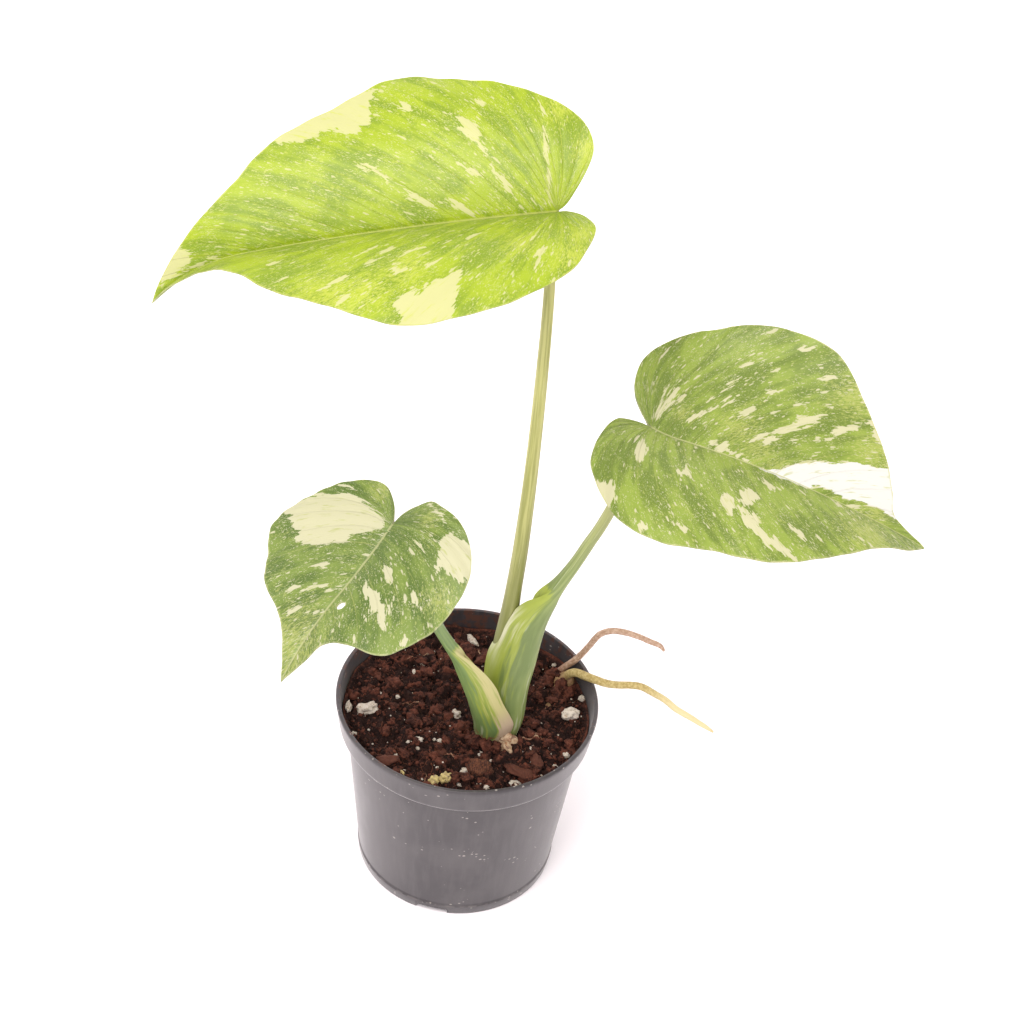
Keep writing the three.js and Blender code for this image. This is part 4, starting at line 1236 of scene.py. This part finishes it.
# Side veins, a little paler than the blade.
split = put("SeparateXYZ", {0: veins})
across = split[0] + cloud(stretched(veins, 30, 40, 1), detail=1) * 6.0
vein_off = abs(reckoned("FRACT", across / vein_spacing) - 0.5)
vein = between(vein_off, 0.035, 0.008) * between(split[1], 75, 12)
vein_pale = vein * between(cloud(stretched(veins, 12, 30, 1), detail=1), 0.4, 0.66, 0.08, 0.75)
colour = blend(vein_pale, colour, yellow)

# Flecks in six sizes, thicker in some parts of the blade than in others.
dense = between(cloud(flat, size=17, detail=2), 0.36, 0.64, 0.5, 1.5) * inside["Fleck amount"]
masks = []
for width, length, share in fleck_sizes:
    inputs = {"Place": veins, "Width": width, "Length": length, "Share": dense * share}
    masks.append(put("Group", inputs, node_tree=flecks))
tint = between(cloud(stretched(veins, 2, 5, 1), detail=1), 0.35, 0.62)
fine = most(masks[0], masks[1], masks[2])
colour = blend(fine * 0.75, colour, blend(tint, yellow, cream))
bold = most(masks[3], masks[4], masks[5])
colour = blend(bold * 0.9, colour, cream)

# Splashes: their edges are torn along the veins, with islands of green left in them.
tear = cloud(stretched(veins, 1.1, 3.6, 1), detail=4, roughness=0.6)
wide_tear = cloud(stretched(veins, 3.2, 11, 1), detail=2)
torn = (tear - 0.5) * 5.5 + (wide_tear - 0.5) * 9.0 + inside["Cream depth"]
splash = between(torn, -0.12, 0.12)
tinge = between(cloud(stretched(veins, 1.6, 9, 1), detail=4), 0.56, 0.7, 0, 0.6)
bleached = (tear - 0.5) * 6.0 + inside["White depth"]
cream_tinged = blend(between(bleached, -0.3, 0.6), cream, inside["White"])
cream_tinged = blend(tinge, cream_tinged, yellow)
colour = blend(splash, colour, cream_tinged)

# The midrib thins towards the tip, and the margin is pale in stretches.
pale_rim = blend(0.5, yellow, cream)
on_blade = put("SeparateXYZ", {0: flat})
rib_width = between(on_blade["X"], 0, 150, 0.48, 0.15)
colour = blend(between(abs(on_blade["Y"]) - rib_width, 0.2, -0.2, 0, 0.75), colour, pale_rim)
margin_break = between(cloud(stretched(veins, 5, 400, 1), detail=2), 0.36, 0.62, 0.1, 0.75)
edge = between(inside["Margin"], 0.9, 0.35) * margin_break
colour = blend(edge, colour, pale_rim)
fine_veins = cloud(stretched(veins, 0.9, 14, 1), detail=3)
relief = fine_veins * 0.6 - vein * 0.9 + grain * 0.12
put("NodeGroupOutput", {"Color": colour, "Height": relief, "Splashed": most(splash, bold)})


def blade_finish(name, fleck_amount, roughness, *colours):
    """Waxy leaf skin over flesh that lets some light through, in five colours, deep to white."""
    material = finish(name, roughness=roughness, specular=0.5)
    inputs = dict(zip(blade_colours, colours))
    for socket, uv_map in blade_maps.items():
        inputs[socket] = put("UVMap", uv_map=uv_map)
    for socket, attribute in blade_depths.items():
        inputs[socket] = put("Attribute", attribute_name=attribute)["Fac"]
    blade = put("Group", {**inputs, "Fleck amount": fleck_amount}, node_tree=variegation)
    wax = blade["Splashed"] * 0.08 + roughness
    set_shader({"Roughness": wax, "Sheen Weight": 0.07, "Sheen Roughness": 0.4})
    paint(blade["Color"], blade["Height"], 0.16)
    flesh = put("BsdfTranslucent", {"Color": blade["Color"]})
    skin = Wire(Wire.tree.nodes["Principled BSDF"])
    both = put("MixShader", {0: see_through, 1: skin, 2: flesh})
    feed(Wire.tree.nodes["Material Output"], {"Surface": both})
    return material


see_through = 0.28
under_cream = (0.5, 0.5, 0.3, 1)


# The large leaf is the youngest and brightest, with a two-lobed splash at its far margin,
# one at its near margin and cream along its drawn-out tip.
large_areas = [
    [
        (70, -66), (72, -58), (73, -48), (80, -42), (87, -47), (93, -46), (100, -42), (109, -43),
        (116, -49), (112, -60), (90, -70),
    ],
    [(36, -45), (29, -41), (28, -34), (26, -27), (26, -24), (29, -28), (33, -33), (36, -39)],
    [
        (37, 43), (39, 50), (40, 57), (42, 70), (60, 80), (66, 72), (62, 65), (65, 58), (61, 54),
        (54, 52), (50, 48), (44, 47),
    ],
    [(151, -5), (156, -3), (163, -2), (172, -2), (170, -8), (156, -12)],
]
large_streaks = [
    (1.5, [(141, -2), (148, -1.4), (158, -1)]), (1.3, [(26, -24), (22, -16), (16, -8)]),
    (0.9, [(75, -27), (64, -18), (55, -11), (45, -4)]), (0.8, [(3, -49), (3, -34), (2, -17), (3, -3)]),
]
large_spots = [
    (39, -6, 9, 4), (33, -20, 8, 3), (7, 38, 6, 4.5), (8, 44, 6, 3), (4, 10, 3, 2), (9, 27, 4, 2.2),
    (53, -9, 5, 2.2), (76, -26, 7, 2.2), (63, -15, 8, 1.6), (27, -51, 5, 2), (59, -53, 5, 2.6),
    (77, 24, 6, 2), (68, 25, 7, 2.6), (59, 29, 8, 3), (63, 39, 7, 5), (50, 38, 5, 3.4), (89, 44, 8, 2.6),
    (107, 23, 6, 1.8), (109, 34, 5, 2), (116, 22, 5, 2), (84, 53, 7, 2.2), (24, -16, 3, 1.6),
]
large_mottled = [
    (90, 51, 26), (62, 40, 18), (76, 50, 18), (-6, 42, 16), (-9, 29, 12), (15, 32, 12), (-13, -24, 10),
    (-4, -43, 12),
]
large_deep = (0.185, 0.29, 0.002, 1)
large_bright = (0.315, 0.43, 0.004, 1)
large_yellow = (0.46, 0.53, 0.055, 1)
large_cream = (0.51, 0.53, 0.23, 1)
large_top = blade_finish(
    "large_blade_skin", 1.3, 0.4, large_deep, large_bright, large_yellow, large_cream, large_cream,
)
large_under = blade_finish(
    "large_blade_underside", 0.8, 0.6, (0.22, 0.29, 0.07, 1), (0.3, 0.37, 0.1, 1), (0.42, 0.46, 0.17, 1),
    under_cream, under_cream,
)
leaf_large = made(
    "leaf_large", blade_mesh(large_leaf, 230, 42, large_areas, large_streaks, large_spots, large_mottled),
    [large_top, large_under], crease=60,
)
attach(leaf_large, "root")
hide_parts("leaf_large")


# The right leaf has a wide white sector from its midrib out to the margin, in which the
# chlorophyll is all but gone, and several ragged splashes on its near half.
right_sector = [
    (47, -1), (57, 3), (59, 7), (65, 12), (71, 16), (79, 20), (84, 24), (92, 25), (98, 30), (112, 24),
    (114, 12), (108, 6), (100, 7), (92, 5), (86, 3), (80, 3), (75, 4), (70, -1), (59, -3), (51, -2),
]
right_areas = [
    right_sector, [(-10, -52), (-5, -48), (-2, -45), (0, -49), (3, -53), (1, -60), (-8, -60)],
    [(80, 46), (81, 42), (84, 41), (87, 37), (93, 34), (96, 42), (88, 50)],
    [(47, -22), (50, -21), (55, -25), (54, -31), (51, -32), (48, -28)],
    [(42, -30), (44, -32), (47, -31), (49, -37), (48, -40), (43, -37)],
    [(22, -20), (25, -22), (27, -26), (29, -29), (25, -27), (22, -28), (22, -24)],
]
right_streaks = [
    (4.6, [(53, -36), (57, -40), (64, -44), (71, -46), (79, -47)]),
    (3.2, [(-1, 5), (-1, 12), (0, 20), (1, 25)]),
    (3.6, [(46, 15), (50, 22), (55, 29), (60, 35), (64, 38)]), (2.2, [(40, 12), (43, 15), (45, 19)]),
    (1.4, [(25, 4), (31, 3), (37, 1.6), (44, 1)]),
    (1.2, [(12, 10), (15, 17), (19, 26), (22, 36), (26, 44)]),
]
right_spots = [
    (1, -22, 17, 9.5), (-3, -16, 6, 3.5), (56, -13, 6, 4.5), (31, 3, 8, 3), (73, 36, 9, 3.6),
    (24, 27, 9, 3), (32, 23, 4, 2.6), (24, 47, 7, 4), (-13, 35, 6, 3), (-4, 22, 4, 3), (5, 21, 5, 3),
    (38, 38, 5, 2.4), (65, 27, 5, 2.2), (57, 54, 4, 2.6), (45, 62, 4, 2.4), (52, -36, 5, 4),
    (58, -36, 5, 2.6), (76, -33, 8, 3.2), (90, 2, 6, 2), (85, -3, 7, 2), (99, -20, 7, 2), (20, -60, 5, 3),
    (35, -56, 4, 2.6), (22, -26, 4, 2),
]
right_mottled = [
    (100, -14, 22), (70, 50, 16), (44, 10, 14), (34, 16, 16), (55, 4, 10), (88, 32, 14), (94, 36, 12),
    (8, 14, 8), (100, 4, 12),
]
right_deep = (0.13, 0.2, 0.016, 1)
right_bright = (0.245, 0.34, 0.04, 1)
right_yellow = (0.38, 0.43, 0.1, 1)
right_cream = (0.53, 0.53, 0.32, 1)
right_white = (0.64, 0.66, 0.62, 1)
right_top = blade_finish(
    "right_blade_skin", 1.1, 0.42, right_deep, right_bright, right_yellow, right_cream, right_white,
)
right_under = blade_finish(
    "right_blade_underside", 0.9, 0.6, (0.16, 0.22, 0.07, 1), (0.22, 0.28, 0.1, 1), (0.35, 0.39, 0.17, 1),
    under_cream, under_cream,
)
leaf_right = made(
    "leaf_right",
    blade_mesh(
        right_leaf, 210, 44, right_areas, right_streaks, right_spots, right_mottled, [right_sector],
    ),
    [right_top, right_under], crease=60,
)
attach(leaf_right, "root")
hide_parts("leaf_right")


# The small leaf is the oldest and deepest green, half of one lobe cream, with a round hole
# that tore open as it unfurled.
small_areas = [
    [
        (0, -2), (-4, -16), (-5, -26), (-1, -38), (5, -47), (14, -52), (15, -45), (19, -41), (19, -37),
        (24, -35), (23, -26), (17, -16), (15, -13), (11, -14), (9, -8), (1, -2),
    ],
    [(-6, 28), (-4, 36), (-3, 42), (7, 52), (11, 42), (11, 35), (4, 28)],
    [(25, 5), (30, 13), (31, 20), (35, 26), (44, 32), (41, 25), (37, 17), (31, 10)],
]
small_streaks = [
    (1.6, [(36, -3), (38, -10), (42, -17), (47, -23)]), (1.4, [(-13, 13), (-10, 22), (-6, 28)]),
]
small_spots = [
    (22, 16, 7, 4), (25, 33, 5, 2.6), (31, -17, 5, 1.8), (43, 41, 5, 2), (29, 38, 4, 2),
    (-8, -28, 4, 1.8), (5, 20, 4, 1.6), (51, -12, 5, 1.6), (48, 22, 5, 2),
]
small_mottled = [(22, 42, 13), (62, -5, 26), (70, 2, 20), (-7, 17, 9), (-12, -14, 10)]
small_deep = (0.08, 0.142, 0.015, 1)
small_bright = (0.17, 0.25, 0.038, 1)
small_yellow = (0.34, 0.39, 0.1, 1)
torn_hole = (42, 6)  # along and across the midrib
hole_radius = 2
hole_cutter_length = 6
small_cream = (0.5, 0.505, 0.32, 1)
small_top = blade_finish(
    "small_blade_skin", 1.1, 0.4, small_deep, small_bright, small_yellow, small_cream, small_cream,
)
small_under = blade_finish(
    "small_blade_underside", 0.8, 0.6, (0.12, 0.18, 0.06, 1), (0.18, 0.24, 0.085, 1),
    (0.32, 0.36, 0.16, 1), under_cream, under_cream,
)
leaf_small = made(
    "leaf_small", blade_mesh(small_leaf, 190, 44, small_areas, small_streaks, small_spots, small_mottled),
    [small_top, small_under], crease=60,
)
hole_u, hole_v = np.array(torn_hole, float)[:, None]
hole_place = Vector(bent(small_leaf, hole_u, hole_v)[0])
hole_turn = Vector(upward(small_leaf, hole_u, hole_v)[0]).to_track_quat("Z", "Y").to_matrix().to_4x4()
hole_mesh = bmesh.new()
bmesh.ops.create_cone(
    hole_mesh, cap_ends=True, segments=28, radius1=hole_radius, radius2=hole_radius,
    depth=hole_cutter_length, matrix=Matrix.Translation(hole_place) @ hole_turn,
)
cut(leaf_small, [made("hole", hole_mesh, [])], crease=60)
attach(leaf_small, "root")
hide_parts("leaf_small")


# Aerial roots: two that grew out over the rim on the right. The upper one has dried brownish
# pink with a grooved tip; the lower is olive and scurfy, with a smooth cream young end.
# Their points are x, y, z and thickness.
upper_root = [
    (23, 2, 80, 3), (33, 20, 83, 3), (41, 30, 89.5, 2.8), (48.5, 29.5, 99.5, 2.7), (53, 28.5, 108.5, 2.6),
    (57.5, 27, 118.5, 2.6), (62.2, 26, 122.2, 2.5), (67.6, 25, 123.2, 2.5), (74.2, 24, 122.5, 2.4),
    (80, 23, 121, 2.3), (85.2, 22.5, 119.2, 2), (87.3, 22, 117, 1.2),
]
lower_root = [
    (27, -3, 79, 4), (37, 12, 83, 4), (43, 25, 89.5, 4), (47.5, 23, 96.5, 4), (54, 17.5, 100, 3.9),
    (58.5, 15.5, 100.3, 3.8), (63.5, 14.5, 99.8, 3.6), (68.7, 13.8, 100.4, 3.4), (73.6, 13.2, 101.6, 3.3),
    (79, 12.5, 101.9, 3.3), (84.4, 11.5, 99.8, 3.2), (90.3, 10.5, 97.1, 3.1), (96, 9.5, 93, 3),
    (101.8, 8.5, 90.3, 2.8), (107.3, 7.5, 87.6, 2.4), (111, 7, 85.7, 2), (114.3, 6.5, 83.7, 1),
]
root_sides = 24


def root_skin(points, steps, wrinkle, groove_from=1.0, swell=1.0):
    """A root's mesh with its map: (turn, length from the rhizome). Past groove_from, as a
    share of its length, it has shrunk into lengthwise grooves. swell thickens it."""
    bm = bmesh.new()
    line = flowing_line(points, steps)
    centres = [Vector(row[:3]) for row in line]
    lengths = [0.0]
    for a, b in zip(centres, centres[1:]):
        lengths.append(lengths[-1] + (b - a).length)
    side = Vector((0, 0, 1))
    rings = []
    for i, centre in enumerate(centres):
        ahead = (centres[min(i + 1, steps)] - centres[max(i - 1, 0)]).normalized()
        side = (side - side.dot(ahead) * ahead).normalized()
        other = ahead.cross(side)
        radius = swell * float(line[i][3]) / 2
        shrunk = min(1, max(0, (i / steps - groove_from) * 6))
        ring = []
        for k in range(root_sides):
            angle = 2 * math.pi * k / root_sides
            out = math.cos(angle) * side + math.sin(angle) * other
            at = Vector((lengths[i] / 2.2, 1.3 * math.cos(angle), 1.3 * math.sin(angle)))
            lump = noise.fractal(at, 1.0, 2.0, 3)
            groove = 0.1 * shrunk * (math.cos(5 * angle) - 1)
            ring.append(centre + radius * (1 + wrinkle * lump + groove) * out)
        rings.append(ring)
    rings = [[centres[0]] * root_sides] + rings + [[centres[-1]] * root_sides]
    tube(bm, rings, "streaks", [0] + lengths + [lengths[-1]])
    return bm


# The upper root is browner at its foot and along the grooves of its shrunken tip.
root_pink = (0.36, 0.23, 0.15, 1)
root_pale_pink = (0.52, 0.38, 0.28, 1)
root_brown = (0.22, 0.1, 0.06, 1)
material = finish("dried_root_skin", roughness=0.55, specular=0.4)
streaks = put("UVMap", uv_map="streaks")
parts = put("SeparateXYZ", {0: streaks})
place = place_mm()
skin = cloud(place, size=1.4, detail=5, roughness=0.62)
lines = cloud(stretched(streaks, 0.07, 6, 1), detail=3)
colour = blend(between(skin, 0.38, 0.64), root_pink, root_pale_pink)
colour = blend(between(lines, 0.52, 0.68, 0, 0.5), colour, root_brown)
colour = blend(between(parts[1], 46, 34, 0, 0.7), colour, root_brown)
paint(colour, skin + lines, 0.22)
root_upper = made("aerial_root_upper", root_skin(upper_root, 150, 0.06, 0.78, 1.15), [material])
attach(root_upper, "root")
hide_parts("aerial_root_upper")

# The lower root is olive and straw with a cream young end and one brown collar on it, and
# leaves the mix beside the woody lumps that both roots come from.
root_olive = (0.33, 0.25, 0.08, 1)
root_straw = (0.5, 0.41, 0.18, 1)
root_cream = (0.6, 0.53, 0.29, 1)
root_collar = (0.52, 0.3, 0.13, 1)
young_from = 92  # mm along it
# The woody collar that both roots leave: x, y, length, width, height and turn of its lumps.
root_knobs = [(43.5, 27, 8, 4.6, 9, 20), (46.5, 25.5, 5, 4, 7, 60), (41, 25, 4, 4, 5, 0)]
collar_at = (118, 122)
material = finish("scurfy_root_skin", roughness=0.6, specular=0.35)
streaks = put("UVMap", uv_map="streaks")
run = put("SeparateXYZ", {0: streaks})[1]
place = place_mm()
scurf = cloud(place, size=1.1, detail=6, roughness=0.7)
colour = blend(between(scurf, 0.4, 0.6), root_olive, root_straw)
colour = blend(between(run, young_from - 14, young_from + 6), colour, root_cream)
collar = between(run, collar_at[0] - 1.5, collar_at[0]) * between(run, collar_at[1] + 1, collar_at[1])
collar = collar * between(scurf, 0.36, 0.55)
colour = blend(collar, colour, root_collar)
colour = blend(between(run, 44, 34, 0, 0.7), colour, root_brown)
paint(colour, scurf, 0.25)
knob_mesh = bmesh.new()
for x, y, length, width, height, turn in root_knobs:
    crumble(knob_mesh, x, y, length, width, height, 0.3, 4, rough=0.16, turn=math.radians(turn))
root_knob = made("root_collar", knob_mesh, [material])
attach(root_knob, "root")
root_lower = made("aerial_root_lower", root_skin(lower_root, 190, 0.045), [material])
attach(root_lower, "root")
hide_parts("aerial_root_lower")
